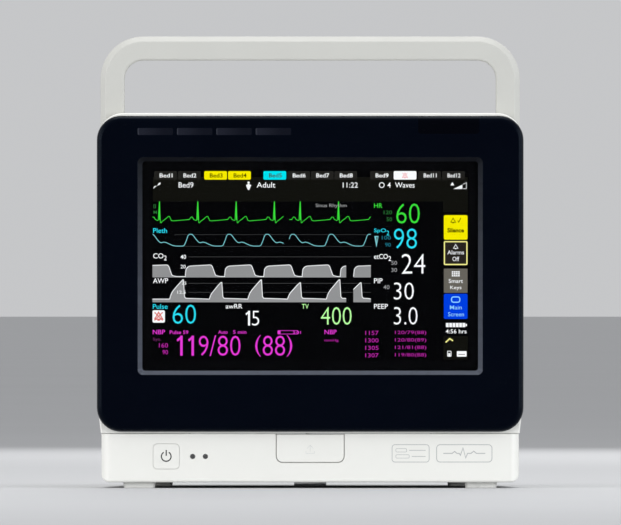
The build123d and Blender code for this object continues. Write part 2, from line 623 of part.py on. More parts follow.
def latch_guide():
    """Moulded collar on the floor, in which the bolt slides."""
    floor = BASE_LOW + FLOOR
    collar = block(-BOLT_HALF - 2.5, BOLT_HALF + 2.5, BOLT_Y0 - 2.0, BOLT_Y1 + 2.3, floor, 15.5)
    return collar - block(-BOLT_HALF - CLEAR, BOLT_HALF + CLEAR, BOLT_Y0 - CLEAR,
                          BOLT_Y1 + CLEAR, floor, 15.5)


def latch_spring():
    """Compression spring that pushes the bolt down."""
    wire, coil = 0.35, 2.4
    low, high = BOLT_TOP + wire + 0.02, SEAM - wire - 0.02
    helix = Helix(pitch=(high - low) / 4.5, height=high - low, radius=coil,
                  center=(0, (BOLT_Y0 + BOLT_Y1) / 2, low))
    return sweep(Plane(helix @ 0, z_dir=helix % 0) * Circle(wire), path=helix)


# ---------------------------------------------------------------- battery
DOOR_AXIS_Y, DOOR_AXIS_Z = BACK - DOOR_THICK / 2, DOOR_LOW + DOOR_THICK / 2


def battery_door():
    """Hinged door in the back of the base, with a finger notch and ribs on its inside."""
    radius = DOOR_THICK / 2
    section = outline((DOOR_AXIS_Y - radius, DOOR_AXIS_Z), (DOOR_AXIS_Y + radius, DOOR_AXIS_Z),
                      (DOOR_AXIS_Y + radius, DOOR_TOP), (DOOR_AXIS_Y - radius, DOOR_TOP))
    body = along_x(section, -DOOR_W / 2, DOOR_W / 2)
    body += rod_x(DOOR_AXIS_Y, DOOR_AXIS_Z, radius, -DOOR_W / 2, DOOR_W / 2)
    body -= along_y(Pos(0, DOOR_TOP + 1) * RectangleRounded(26, 8, 3), BACK - 1.2, BACK + 1)
    for x in (-1, 1):
        body -= rod_x(DOOR_AXIS_Y, DOOR_AXIS_Z, 0.84, x * (DOOR_W / 2 - 2) - 2.5,
                      x * (DOOR_W / 2 - 2) + 2.5)
    return body


def door_pins():
    """Two steel pins that the battery door turns on."""
    return group(both_sides(rod_x(DOOR_AXIS_Y, DOOR_AXIS_Z, 0.8, DOOR_W / 2 - 4, DOOR_W / 2 + 3.8)))


def battery_pack():
    """Smart battery with a rounded case and a contact slot at its inner end."""
    y1 = BACK - DOOR_THICK - 0.6
    y0 = y1 - BATTERY_D
    body = block(-BATTERY_W / 2, BATTERY_W / 2, y0, y1, BATTERY_Z, BATTERY_Z + BATTERY_H)
    body = fillet(body.edges().filter_by(Axis.Y), 2.5)
    body -= block(-60, -36, y0, y0 + 5, BATTERY_Z + 4, BATTERY_Z + 12)
    return body


def battery_cradle():
    """Open ended sleeve that guides the battery."""
    y1 = BACK - DOOR_THICK - 3.0
    y0 = y1 - BATTERY_D + 4
    half = BATTERY_W / 2 + 0.5
    low = BATTERY_Z - 0.3
    sleeve = block(-half - 1.2, half + 1.2, y0, y1, low - 1.2, SEAM - 1)
    sleeve -= block(-half, half, y0, y1, low, SEAM)
    return sleeve


def battery_contacts():
    """Contact block that enters the battery's slot."""
    y0 = BACK - DOOR_THICK - 0.6 - BATTERY_D
    body = block(-63, -33, y0 - 7, y0 - 0.3, BASE_LOW + FLOOR + 2, BATTERY_Z + 16)
    blades = [block(x - 0.4, x + 0.4, y0 - 0.3, y0 + 3.5, BATTERY_Z + 5, BATTERY_Z + 11)
              for x in (-57, -53, -48, -43, -39)]
    return body + blades


# ---------------------------------------------------------------- inner structure and electronics
PUMP_X, PUMP_Y, PUMP_LOW = -50.0, -3.0, 50.2


def chassis():
    """Sheet metal backbone behind the display, with folded flanges and a shelf for the pump."""
    sheet = 1.2
    low, high = PUMP_LOW - sheet, 209.0
    plate = slab(234, high - low, 4, 0, (low + high) / 2, CHASSIS_Y, CHASSIS_Y + sheet)
    plate += block(-100, 100, CHASSIS_Y, CHASSIS_Y + 12, high - sheet, high)
    plate += block(-100, 100, CHASSIS_Y, CHASSIS_Y + 12, low, low + sheet)
    plate += block(PUMP_X - 18, PUMP_X + 18, CHASSIS_Y, PUMP_Y + 18, low, low + sheet)
    for x in (-60, -20, 20, 60):
        plate -= rod_y(x, 202, 3.5, CHASSIS_Y - 1, CHASSIS_Y + sheet + 1)
    return plate - slab(40, 12, 4, 0, 62, CHASSIS_Y - 1, CHASSIS_Y + sheet + 1)


def chassis_posts():
    """Four long posts from the chassis to the rear housing's screws."""
    made = []
    for x, z in REAR_POSTS:
        post = rod_y(x, z, 4.0, CHASSIS_Y + 1.2, BACK - 9)
        made.append(post - rod_y(x, z, SCREW_R + 0.03, BACK - 22, BACK - 9))
    return group(made)


def rear_screws():
    """Four screws that hold the rear housing to the posts."""
    return group(screw_y(x, z, BACK - 4.5, 14) for x, z in REAR_POSTS)


BOARD_Y = CHASSIS_Y + 1.2 + 6
BOARD_LEFT, BOARD_RIGHT, BOARD_LOW, BOARD_HIGH = -67.0, 92.0, 72.0, 194.0


def main_board():
    """Processor board with its larger components."""
    face = BOARD_Y + 1.6
    board = block(BOARD_LEFT, BOARD_RIGHT, BOARD_Y, face, BOARD_LOW, BOARD_HIGH)
    chips = [(-10, 26, 108, 144, 2.4), (44, 62, 100, 118, 1.6), (44, 62, 126, 144, 1.6),
             (-58, -36, 92, 106, 3.0), (-62, -42, 150, 176, 8.0), (20, 80, 172, 186, 9.0)]
    for x0, x1, z0, z1, tall in chips:
        board += block(x0, x1, face, face + tall, z0, z1)
    return board


def board_standoffs():
    """Hexagonal spacers between the chassis and the processor board."""
    return group(along_y(Pos(x, z) * RegularPolygon(3.2, 6), CHASSIS_Y + 1.2, BOARD_Y)
                 for x in (BOARD_LEFT + 6, BOARD_RIGHT - 6)
                 for z in (BOARD_LOW + 6, BOARD_HIGH - 6))


def heat_sink():
    """Finned heat sink on the processor."""
    y0 = BOARD_Y + 1.6 + 2.4
    body = block(-22, 38, y0, y0 + 3, 96, 156)
    for k in range(9):
        x = -22 + 7.25 * k
        body += block(x, x + 2, y0 + 3, y0 + 20, 96, 156)
    return body


def power_supply():
    """Mains power supply in a folded metal cage with ventilation slots."""
    front, low, high, sheet = SUPPLY_BACK - 42, 86.0, 146.0, 1.2
    board = SUPPLY_BACK - 3.5
    cage = block(-62, 62, front, SUPPLY_BACK, low, high)
    cage -= block(-62 + sheet, 62 - sheet, front + sheet, SUPPLY_BACK, low + sheet, high - sheet)
    for x in range(-48, 49, 12):
        cage -= slab(5, 40, 2.4, x, (low + high) / 2, front - 1, front + 2)
    cage += block(-61, 61, board, board + 1.6, low + sheet, high - sheet)
    for x, z in SUPPLY_BOSSES:
        cage += rod_y(x, z, 3, board, SUPPLY_BACK)
    for x0, x1, z0, z1, tall in ((-48, -20, 98, 126, 24), (-10, 8, 100, 118, 30),
                                 (16, 34, 100, 118, 30), (-48, -22, 130, 140, 18)):
        cage += block(x0, x1, board - tall, board, z0, z1)
    return cage


def measurement_module():
    """Shielded box of patient measurement circuits behind the side panel."""
    x, y, width, height = 0.0, 8.0, 74.0, 80.0
    box = side_slab(width, height, 2, x, y, -38, -16)
    return box - side_slab(width - 12, height - 12, 2, x, y, -38, -36.5)


def nbp_pump():
    """Air pump for the cuff: a motor can with a smaller pump head."""
    body = rod_z(PUMP_X, PUMP_Y, 13.5, PUMP_LOW, PUMP_LOW + 40)
    body += rod_z(PUMP_X, PUMP_Y, 10.5, PUMP_LOW + 40, PUMP_LOW + 54)
    return body + rod_z(PUMP_X, PUMP_Y, 2.0, PUMP_LOW + 54, PUMP_LOW + 60)


def nbp_valve():
    """Valve and pressure sensor block on top of the power supply."""
    body = block(-58, -30, 24, 44, 146, 168)
    for x in (-51, -37):
        body += rod_z(x, 34, 6.0, 168, 180)
    return body + rod_x(34, 157, 2.0, -64, -58)


# ---------------------------------------------------------------- side connectors
SOCKETS = {                       # place on the panel (forward, up), outer and inner radius
    "ecg": (21.0, 40.0, 13.0, 8.0),
    "press": (-21.0, 0.0, 11.5, 6.6),
    "temp": (21.0, 0.0, 9.0, 4.4),
    "nbp": (21.0, -40.0, 12.5, 8.2),
    "co2": (-21.0, -40.0, 9.5, 5.2),
}
SPO2 = (-21.0, 40.0, 27.0, 20.0, 18.0, 11.0)   # place, outer size, opening size
SOCKET_FACE, SOCKET_FLOOR, PIN_TIP = 0.8, -10.0, -6.0


def connector_panel():
    """Grey panel behind the side window, with a hole for each socket."""
    body = side_slab(PANEL_W + 6, PANEL_H + 6, 8, 0, 0, PANEL_Z - 2.5, PANEL_Z)
    for x, y, outer, _ in SOCKETS.values():
        body -= side_rod(x, y, outer - 2.0, PANEL_Z - 3, PANEL_Z + 1)
    x, y, width, height, _, _ = SPO2
    body -= side_slab(width - 4, height - 4, 3, x, y, PANEL_Z - 3, PANEL_Z + 1)
    for x in (-33.5, 33.5):
        for y in (-20.0, 20.0):
            body += side_rod(x, y, 2.5, -16, PANEL_Z - 1)
    return body


def round_socket(name):
    """Round socket: a raised collar on the panel and a cup behind it."""
    x, y, outer, inner = SOCKETS[name]
    body = side_rod(x, y, outer, PANEL_Z, SOCKET_FACE)
    body = fillet([e for e in body.edges() if abs(SIDE.to_local_coords(e.center()).Z
                                                  - SOCKET_FACE) < 0.01], 1.2)
    body += side_rod(x, y, outer - 2.1, SOCKET_FLOOR - 2, PANEL_Z)
    return body - side_rod(x, y, inner, SOCKET_FLOOR, SOCKET_FACE + 1)


def spo2_socket():
    """Rectangular socket with rounded ends."""
    x, y, width, height, wide, tall = SPO2
    body = side_slab(width, height, 6, x, y, PANEL_Z, SOCKET_FACE)
    body = fillet([e for e in body.edges() if abs(SIDE.to_local_coords(e.center()).Z
                                                  - SOCKET_FACE) < 0.01], 1.2)
    body += side_slab(width - 4.2, height - 4.2, 3, x, y, SOCKET_FLOOR - 2, PANEL_Z)
    return body - side_slab(wide, tall, 4, x, y, SOCKET_FLOOR, SOCKET_FACE + 1)


def gas_socket(name, radius, bore):
    """Round socket with a hollow nipple on its floor."""
    x, y, _, _ = SOCKETS[name]
    nipple = side_rod(x, y, radius, SOCKET_FLOOR - 1, PIN_TIP)
    return round_socket(name) + nipple - side_rod(x, y, bore, SOCKET_FLOOR + 1, PIN_TIP + 1)


def socket_pins():
    """Gold contacts of the electrical sockets."""
    made = []
    rings = (("ecg", 4.6, 8), ("ecg", 1.6, 3), ("press", 3.6, 6), ("temp", 1.8, 2))
    for name, radius, count in rings:
        x, y, _, _ = SOCKETS[name]
        for k in range(count):
            angle = 2 * pi * k / count + pi / 2
            made.append(side_rod(x + radius * cos(angle), y + radius * sin(angle), 0.55,
                                 SOCKET_FLOOR, PIN_TIP))
    x, y, *_ = SPO2
    for row in (-2.2, 2.2):
        for k in range(4):
            made.append(side_rod(x - 4.8 + 3.2 * k, y + row, 0.5, SOCKET_FLOOR, PIN_TIP))
    return group(made)


# ---------------------------------------------------------------- rear connectors
MAINS_X, STUD_X, LAN_X, USB_X, CALL_X, LINK_X = -82.0, -54.0, -30.0, -2.0, 24.0, 52.0


def io_plate():
    """Metal plate at the bottom of the rear bay, which carries the connectors."""
    y0 = IO_Y - 2.4 - 1.5
    body = slab(POCKET_W - 2, POCKET_H - 2, 3, POCKET_X, IO_Z, y0, y0 + 1.5)
    body -= slab(27.6, 20.4, 2, MAINS_X, IO_Z, y0, y0 + 1.5)
    body -= rod_y(STUD_X, IO_Z, 3.6, y0, y0 + 1.5)
    body -= slab(16.4, 14.4, 0.5, LAN_X, IO_Z, y0, y0 + 1.5)
    body -= slab(15.0, 16.4, 0.5, USB_X, IO_Z, y0, y0 + 1.5)
    body -= rod_y(CALL_X, IO_Z, 5.2, y0, y0 + 1.5)
    return body - slab(23.0, 13.0, 2, LINK_X, IO_Z, y0, y0 + 1.5)


def mains_inlet():
    """Three pole appliance inlet for a detachable mains cord."""
    face = IO_Y - 0.6
    flange = slab(30.5, 23.5, 2.5, MAINS_X, IO_Z, IO_Y - 2.4, face)
    shell = slab(27.0, 19.8, 2, MAINS_X, IO_Z, face - 22, IO_Y - 2.4)
    cavity = along_y(Pos(MAINS_X, IO_Z) * chamfer(
        Rectangle(24.0, 16.4).vertices().group_by(Axis.Y)[0], 4.0), face - 16, face + 1)
    return flange + shell - cavity


def mains_pins():
    """Three blades of the mains inlet."""
    face = IO_Y - 0.6
    return group(block(MAINS_X + x - 1, MAINS_X + x + 1, face - 16, face - 2,
                       IO_Z + z - 2, IO_Z + z + 2) for x, z in ((-7, -1), (0, 3.5), (7, -1)))


def equipotential_stud():
    """Earth bonding stud with its hexagonal base."""
    face = IO_Y - 2.4
    body = along_y(Pos(STUD_X, IO_Z) * RegularPolygon(6.2, 6), face, face + 3)
    body += rod_y(STUD_X, IO_Z, 3.5, face - 6, face)
    pin = rod_y(STUD_X, IO_Z, 3.0, face + 3, BACK - 2)
    return body + fillet(edges_at(pin, Axis.Y, BACK - 2), 0.8)


def modular_jack(x):
    """Eight way modular jack, for a network or a data cable."""
    face = IO_Y - 1.2
    body = block(x - 8, x + 8, face - 17, face, IO_Z - 7, IO_Z + 7)
    body -= block(x - 5.9, x + 5.9, face - 13, face, IO_Z - 4.4, IO_Z + 3.4)
    body -= block(x - 3, x + 3, face - 13, face, IO_Z + 3.4, IO_Z + 5.6)
    return body


def usb_ports():
    """Two stacked type A ports with their tongues."""
    face = IO_Y - 1.2
    body = block(USB_X - 7.3, USB_X + 7.3, face - 16, face, IO_Z - 8, IO_Z + 8)
    for z in (-3.9, 3.9):
        body -= block(USB_X - 6.2, USB_X + 6.2, face - 12, face, IO_Z + z - 2.6, IO_Z + z + 2.6)
        body += block(USB_X - 5.6, USB_X + 5.6, face - 12, face - 1, IO_Z + z + 0.5, IO_Z + z + 2.3)
    return body


def call_jack():
    """Quarter inch jack for a nurse call cable."""
    face = IO_Y - 2.4
    body = rod_y(CALL_X, IO_Z, 5.0, face - 16, face) + rod_y(CALL_X, IO_Z, 6.6, face, face + 1)
    body += along_y(Pos(CALL_X, IO_Z) * RegularPolygon(6.4, 6), face + 1, face + 3)
    return body - rod_y(CALL_X, IO_Z, 3.25, face - 15, face + 4)


def link_port():
    """Socket for the cable to the external measurement modules."""
    face = IO_Y - 0.9
    body = slab(26, 16, 3, LINK_X, IO_Z, IO_Y - 2.4, face)
    body += slab(22.6, 12.6, 2, LINK_X, IO_Z, face - 14, IO_Y - 2.4)
    body -= slab(19, 9, 2, LINK_X, IO_Z, face - 10, face + 1)
    return body + slab(13, 3, 0.6, LINK_X, IO_Z, face - 10, face - 6)


def loudspeaker():
    """Round loudspeaker behind the rear grille: basket, magnet and cone."""
    y1 = BACK - WALL
    body = rod_y(SPEAKER_X, SPEAKER_Z, SPEAKER_R, y1 - 3, y1)
    body += rod_y(SPEAKER_X, SPEAKER_Z, 11, y1 - 16, y1 - 3)
    cone = along_y(Pos(SPEAKER_X, SPEAKER_Z) * Circle(SPEAKER_R - 3), y1 - 2, y1)
    return body - cone


def rating_plate():
    """Blank metal plate let into the back of the case."""
    return slab(PLATE_W - 0.3, PLATE_H - 0.3, 1.9, PLATE_X, PLATE_Z, BACK - 0.3, BACK - 0.05)


def display_cable():
    """Flat cable: down behind the display, through the chassis, up to the processor board."""
    front = CELL_BACK + 6.8
    back = BOARD_Y - 1.4
    thick, low = 0.4, 62.0
    section = outline((front, 100), (front, low), (back, low), (back, 86), (back + thick, 86),
                      (back + thick, low - thick), (front - thick, low - thick),
                      (front - thick, 100))
    return along_x(section, -15, 15)


# ---------------------------------------------------------------- assembly
def assembly():
    """Every node's name and solid."""
    return {
        "front_bezel": front_bezel(),
        "badge_tab": badge_tab(),
        "alarm_lens": alarm_lens(),
        "alarm_board": alarm_board(),
        "screen_gasket": screen_gasket(),
        "touch_glass": touch_glass(),
        "lcd_cell": lcd_cell(),
        "lcd_backlight": lcd_backlight(),
        "lcd_bracket": lcd_bracket(),
        "display_cable": display_cable(),
        "front_frame": front_frame(),
        "rear_housing": rear_housing(),
        "rating_plate": rating_plate(),
        "carry_handle": carry_handle(),
        "handle_screws": handle_screws(),
        "bezel_screws": bezel_screws(),
        "rear_screws": rear_screws(),
        "base_screws": base_screws(),
        "base_tray": base_tray(),
        "rubber_feet": rubber_feet(),
        "mount_plate": mount_plate(),
        "power_key": power_key(),
        "power_switch": power_switch(),
        "key_board": key_board(),
        "status_lights": status_lights(),
        "release_key": release_key(),
        "latch_bolt": latch_bolt(),
        "latch_guide": latch_guide(),
        "latch_spring": latch_spring(),
        "battery_door": battery_door(),
        "door_pins": door_pins(),
        "battery_pack": battery_pack(),
        "battery_cradle": battery_cradle(),
        "battery_contacts": battery_contacts(),
        "chassis": chassis(),
        "chassis_posts": chassis_posts(),
        "main_board": main_board(),
        "board_standoffs": board_standoffs(),
        "heat_sink": heat_sink(),
        "power_supply": power_supply(),
        "measurement_module": measurement_module(),
        "nbp_pump": nbp_pump(),
        "nbp_valve": nbp_valve(),
        "connector_panel": connector_panel(),
        "ecg_socket": round_socket("ecg"),
        "spo2_socket": spo2_socket(),
        "press_socket": round_socket("press"),
        "temp_socket": round_socket("temp"),
        "nbp_socket": gas_socket("nbp", 3.6, 1.6),
        "co2_socket": gas_socket("co2", 2.0, 0.9),
        "socket_pins": socket_pins(),
        "io_plate": io_plate(),
        "mains_inlet": mains_inlet(),
        "mains_pins": mains_pins(),
        "equipotential_stud": equipotential_stud(),
        "network_jack": modular_jack(LAN_X),
        "usb_ports": usb_ports(),
        "call_jack": call_jack(),
        "link_port": link_port(),
        "loudspeaker": loudspeaker(),
    }


def main():
    os.makedirs("parts", exist_ok=True)
    for name, shape in assembly().items():
        export_step(shape, f"parts/{name}.step")


main()
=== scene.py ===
"""Looks of a bedside patient monitor: materials, the picture on its display and its printed marks.

Metres, in the CAD frame: X to the right seen from the front, Y to the back, Z up.
"""
from math import cos, pi, sin

import bpy
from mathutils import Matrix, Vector


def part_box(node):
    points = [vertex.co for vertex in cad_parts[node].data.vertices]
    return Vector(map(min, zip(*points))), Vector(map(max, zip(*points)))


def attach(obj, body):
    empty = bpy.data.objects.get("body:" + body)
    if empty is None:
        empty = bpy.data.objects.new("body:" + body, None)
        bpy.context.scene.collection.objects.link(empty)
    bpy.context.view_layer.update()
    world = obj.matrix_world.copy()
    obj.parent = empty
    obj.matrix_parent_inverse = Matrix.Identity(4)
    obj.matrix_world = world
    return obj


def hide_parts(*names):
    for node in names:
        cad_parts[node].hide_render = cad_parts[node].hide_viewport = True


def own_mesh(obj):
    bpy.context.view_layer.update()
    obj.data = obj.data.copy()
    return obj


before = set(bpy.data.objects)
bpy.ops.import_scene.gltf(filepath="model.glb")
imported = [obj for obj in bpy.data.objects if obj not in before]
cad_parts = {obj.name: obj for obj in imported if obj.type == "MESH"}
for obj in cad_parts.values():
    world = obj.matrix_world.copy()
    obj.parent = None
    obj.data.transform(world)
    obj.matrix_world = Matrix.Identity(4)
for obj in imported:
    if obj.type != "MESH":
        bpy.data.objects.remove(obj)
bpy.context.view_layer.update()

MM = 0.001
BODY = "monitor"


# -------------------- places taken from the frame
def centre_of(node):
    low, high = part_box(node)
    return (low + high) / 2


BEZEL_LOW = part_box("front_bezel")[0]
GLASS_LOW, GLASS_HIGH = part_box("touch_glass")
LAMPS_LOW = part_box("alarm_lens")[0]
DISPLAY_W, DISPLAY_H = 196.0 * MM, 117.6 * MM          # lit area of the 9 inch panel
DISPLAY_OPENING = (214.2 * MM, 135.2 * MM)              # outer edge of the bezel's bevel
DISPLAY_OPENING_Z = centre_of("touch_glass").z
DISPLAY_MIDDLE = centre_of("lcd_cell") + Vector((0, 0, 0.6 * MM))
DISPLAY_LEFT = DISPLAY_MIDDLE.x - DISPLAY_W / 2
DISPLAY_TOP = DISPLAY_MIDDLE.z + DISPLAY_H / 2
PICTURE_Y = GLASS_HIGH.y + 0.12 * MM                    # picture plane, just behind the glass
LAYER = 0.02 * MM                                       # step between the picture's layers


# -------------------- node helpers
class Shade:
    """A material's node tree, with short calls for the nodes that the materials share."""

    def __init__(self, name):
        self.material = bpy.data.materials.new(name)
        self.material.use_nodes = True
        self.tree = self.material.node_tree
        self.tree.nodes.clear()
        self.output = self.add("ShaderNodeOutputMaterial")
        self.place = self.add("ShaderNodeTexCoord").outputs["Object"]

    def add(self, kind, **values):
        node = self.tree.nodes.new(kind)
        for key, value in values.items():
            setattr(node, key, value)
        return node

    def feed(self, socket, value):
        """Links a socket to another one, or sets its plain value."""
        if isinstance(value, bpy.types.NodeSocket):
            self.tree.links.new(value, socket)
        else:
            socket.default_value = value

    def noise(self, size, detail=3.0, rough=0.55, stretch=None):
        """Noise whose grains are about size metres across, from 0 to 1."""
        node = self.add("ShaderNodeTexNoise")
        node.inputs["Scale"].default_value = 1.0 / size
        node.inputs["Detail"].default_value = detail
        node.inputs["Roughness"].default_value = rough
        source = self.place
        if stretch:
            mapping = self.add("ShaderNodeMapping")
            mapping.inputs["Scale"].default_value = stretch
            self.feed(mapping.inputs["Vector"], source)
            source = mapping.outputs["Vector"]
        self.feed(node.inputs["Vector"], source)
        return node.outputs["Fac"]

    def ramp(self, value, low, high, out_low=0.0, out_high=1.0, smooth=True):
        """Maps the range low to high onto out_low to out_high, and clamps it."""
        node = self.add("ShaderNodeMapRange")
        node.interpolation_type = "SMOOTHSTEP" if smooth else "LINEAR"
        for key, number in (("From Min", low), ("From Max", high), ("To Min", out_low),
                            ("To Max", out_high)):
            node.inputs[key].default_value = number
        self.feed(node.inputs["Value"], value)
        return node.outputs["Result"]

    def math(self, operation, first, second=0.0):
        node = self.add("ShaderNodeMath", operation=operation)
        self.feed(node.inputs[0], first)
        self.feed(node.inputs[1], second)
        return node.outputs[0]

    def mix(self, factor, first, second):
        node = self.add("ShaderNodeMix", data_type="RGBA")
        self.feed(node.inputs["Factor"], factor)
        self.feed(node.inputs[6], first)
        self.feed(node.inputs[7], second)
        return node.outputs[2]

    def axis(self, name, source=None):
        """One part of a vector, which is the place on the object unless another is given."""
        node = self.add("ShaderNodeSeparateXYZ")
        self.feed(node.inputs[0], source or self.place)
        return node.outputs[name]

    def bricks(self, size, first, second, mortar):
        """Brick pattern on the faces that look along Y."""
        node = self.add("ShaderNodeTexBrick")
        node.inputs["Scale"].default_value = 1 / size
        for key, colour in (("Color1", first), ("Color2", second), ("Mortar", mortar)):
            node.inputs[key].default_value = colour
        turn = self.add("ShaderNodeMapping")
        turn.inputs["Rotation"].default_value = (pi / 2, 0, 0)
        self.feed(turn.inputs["Vector"], self.place)
        self.feed(node.inputs["Vector"], turn.outputs["Vector"])
        return node

    def bump(self, height, distance):
        node = self.add("ShaderNodeBump")
        node.inputs["Strength"].default_value = 1.0
        node.inputs["Distance"].default_value = distance
        self.feed(node.inputs["Height"], height)
        return node.outputs["Normal"]

    def edge_mask(self):
        """1 along edges, where a rounded normal turns away from the face's own."""
        soft = self.add("ShaderNodeBevel", samples=4)
        soft.inputs["Radius"].default_value = 0.5 * MM
        turn = self.add("ShaderNodeVectorMath", operation="DOT_PRODUCT")
        self.feed(turn.inputs[0], soft.outputs["Normal"])
        self.feed(turn.inputs[1], self.add("ShaderNodeNewGeometry").outputs["Normal"])
        return self.ramp(turn.outputs["Value"], 0.99, 0.86)

    def surface(self, **values):
        """Ends the tree in one Principled shader."""
        shader = self.add("ShaderNodeBsdfPrincipled")
        for key, value in values.items():
            self.feed(shader.inputs[key.replace("_", " ")], value)
        self.feed(self.output.inputs["Surface"], shader.outputs[0])
        return self.material


def rgb(red, green, blue):
    return (red, green, blue, 1.0)


def tinted(colour, factor):
    return rgb(*(min(1.0, part * factor) for part in colour[:3]))


# -------------------- materials
def moulded(name, colour, rough=0.42, grain=0.35 * MM, depth=0.02 * MM, edge_paling=0.0, coat=0.0):
    """Moulded plastic: spark eroded grain, faint mottling, handling marks and paler edges, which on the
    handle are a painted highlight.
    """
    shade = Shade(name)
    cloud = shade.noise(35 * MM, detail=4)
    base = shade.mix(cloud, tinted(colour, 0.97), tinted(colour, 1.03))
    speck = shade.ramp(shade.noise(1.1 * MM, detail=2), 0.68, 0.76, 0.0, 0.25)
    base = shade.mix(speck, base, tinted(colour, 0.86))
    # Paler edges; on the handle they are a painted highlight where its fillets catch the light.
    if edge_paling:
        base = shade.mix(shade.math("MULTIPLY", shade.edge_mask(), edge_paling), base,
                         tinted(colour, 1.9 if colour[1] < 0.2 else 1.12))
    fine = shade.noise(grain, detail=2, rough=0.6)
    smudge = shade.ramp(shade.noise(18 * MM, detail=5, rough=0.7), 0.35, 0.7, -0.05, 0.07)
    roughness = shade.math("ADD", shade.math("ADD", smudge, rough),
                           shade.ramp(fine, 0.3, 0.7, -0.03, 0.03))
    return shade.surface(Base_Color=base, Roughness=roughness, Normal=shade.bump(fine, depth),
                         Coat_Weight=coat, Coat_Roughness=0.12, IOR=1.5)


def brushed(name, colour, rough=0.32, along=(1, 40, 40)):
    """Sheet or turned metal with fine brush lines and a few fingermarks."""
    shade = Shade(name)
    lines = shade.noise(9 * MM, detail=6, rough=0.75, stretch=along)
    blotch = shade.noise(14 * MM, detail=3)
    base = shade.mix(lines, tinted(colour, 0.82), tinted(colour, 1.08))
    base = shade.mix(shade.ramp(blotch, 0.55, 0.75, 0.0, 0.25), base, tinted(colour, 0.7))
    roughness = shade.math("ADD", shade.ramp(lines, 0.3, 0.7, -0.06, 0.08),
                           shade.ramp(blotch, 0.4, 0.7, rough - 0.04, rough + 0.08))
    return shade.surface(Base_Color=base, Metallic=1.0, Roughness=roughness,
                         Normal=shade.bump(lines, 0.012 * MM))


def cast(name, colour, rough=0.4):
    """Zinc plated or machined metal with a slight spangle."""
    shade = Shade(name)
    cells = shade.add("ShaderNodeTexVoronoi")
    cells.inputs["Scale"].default_value = 1 / (3.5 * MM)
    shade.feed(cells.inputs["Vector"], shade.place)
    base = shade.mix(shade.ramp(cells.outputs["Color"], 0.2, 0.9), tinted(colour, 0.9),
                     tinted(colour, 1.08))
    grain = shade.noise(0.5 * MM, detail=3)
    return shade.surface(Base_Color=base, Metallic=1.0,
                         Roughness=shade.ramp(grain, 0.3, 0.7, rough - 0.08, rough + 0.08),
                         Normal=shade.bump(grain, 0.01 * MM))


def rubbery(name, colour):
    """Matt elastomer with dust in its grain."""
    shade = Shade(name)
    fine = shade.noise(0.6 * MM, detail=4, rough=0.7)
    dust = shade.ramp(shade.noise(7 * MM, detail=5), 0.5, 0.75, 0.0, 0.35)
    base = shade.mix(dust, colour, rgb(0.42, 0.41, 0.39))
    return shade.surface(Base_Color=base, Roughness=shade.ramp(fine, 0.3, 0.7, 0.68, 0.86),
                         Normal=shade.bump(fine, 0.05 * MM), Sheen_Weight=0.15)


def circuit_board(name):
    """Green solder mask over copper tracks."""
    shade = Shade(name)
    weave = shade.noise(2.2 * MM, detail=1, stretch=(1, 1, 6))
    tracks = shade.bricks(9 * MM, rgb(0.010, 0.085, 0.035), rgb(0.014, 0.12, 0.05),
                          rgb(0.03, 0.21, 0.09))
    tracks.inputs["Mortar Size"].default_value = 0.03
    base = shade.mix(shade.ramp(weave, 0.4, 0.6, 0, 0.25), tracks.outputs["Color"],
                     rgb(0.006, 0.05, 0.02))
    return shade.surface(Base_Color=base, Roughness=shade.ramp(weave, 0.3, 0.7, 0.25, 0.4),
                         Normal=shade.bump(weave, 0.01 * MM))


def inside(shade, low, high):
    """1 inside a rectangle given by its lower left and upper right corners in X and Z."""
    mask = 1.0
    for name, start, end in (("X", low[0], high[0]), ("Z", low[1], high[1])):
        place = shade.axis(name)
        above = shade.math("GREATER_THAN", place, start)
        below = shade.math("LESS_THAN", place, end)
        mask = shade.math("MULTIPLY", shade.math("MULTIPLY", above, below), mask)
    return mask


def bezel_plastic(name, colour, rough, trim=None):
    """Near black navy moulding: satin, with fine grain, dust and a painted highlight along its edges.

    The bevel round the screen, inside the trim rectangle, is paler: painted light at the bottom, which
    faces the light above, fading to painted shade at the top.
    """
    shade = Shade(name)
    fine = shade.noise(0.22 * MM, detail=2, rough=0.6)
    cloud = shade.noise(60 * MM, detail=3)
    base = shade.mix(cloud, tinted(colour, 0.8), tinted(colour, 1.25))
    dust = shade.ramp(shade.noise(0.9 * MM, detail=1), 0.74, 0.8, 0.0, 0.02)
    base = shade.mix(dust, base, rgb(0.3, 0.31, 0.33))
    # Painted highlight: the edges are made paler.
    base = shade.mix(shade.math("MULTIPLY", shade.edge_mask(), 0.3), base, tinted(colour, 4.0))
    swipe = shade.ramp(shade.noise(30 * MM, detail=6, rough=0.7, stretch=(1, 1, 2.4)), 0.4, 0.7,
                       -0.03, 0.06)
    roughness = shade.math("ADD", shade.math("ADD", swipe, rough),
                           shade.ramp(fine, 0.3, 0.7, -0.02, 0.02))
    rim = shade.add("ShaderNodeLayerWeight")
    rim.inputs["Blend"].default_value = 0.5
    gloss = shade.math("ADD", shade.math("MULTIPLY", rim.outputs["Facing"], 0.3), 0.035)
    if trim:
        slope = shade.axis("Y", shade.add("ShaderNodeNewGeometry").outputs["True Normal"])
        bevel = shade.math("MULTIPLY", inside(shade, *trim), shade.ramp(slope, -0.97, -0.9))
        height = shade.ramp(shade.axis("Z"), trim[0][1], trim[1][1], 0.0, 1.0, smooth=False)
        # Painted light and shade: the bevel is palest at the bottom and near black at the top; its
        # gloss falls the same way.
        coat = shade.mix(height, rgb(0.058, 0.062, 0.078), rgb(0.0045, 0.0046, 0.006))
        base = shade.mix(bevel, base, coat)
        gloss = shade.math("ADD", shade.math("MULTIPLY", bevel, shade.ramp(height, 0, 1, 0.2, 0)),
                           gloss)
    return shade.surface(Base_Color=base, Roughness=roughness, Specular_IOR_Level=gloss,
                         Specular_Tint=rgb(0.62, 0.78, 1.0), Normal=shade.bump(fine, 0.006 * MM))


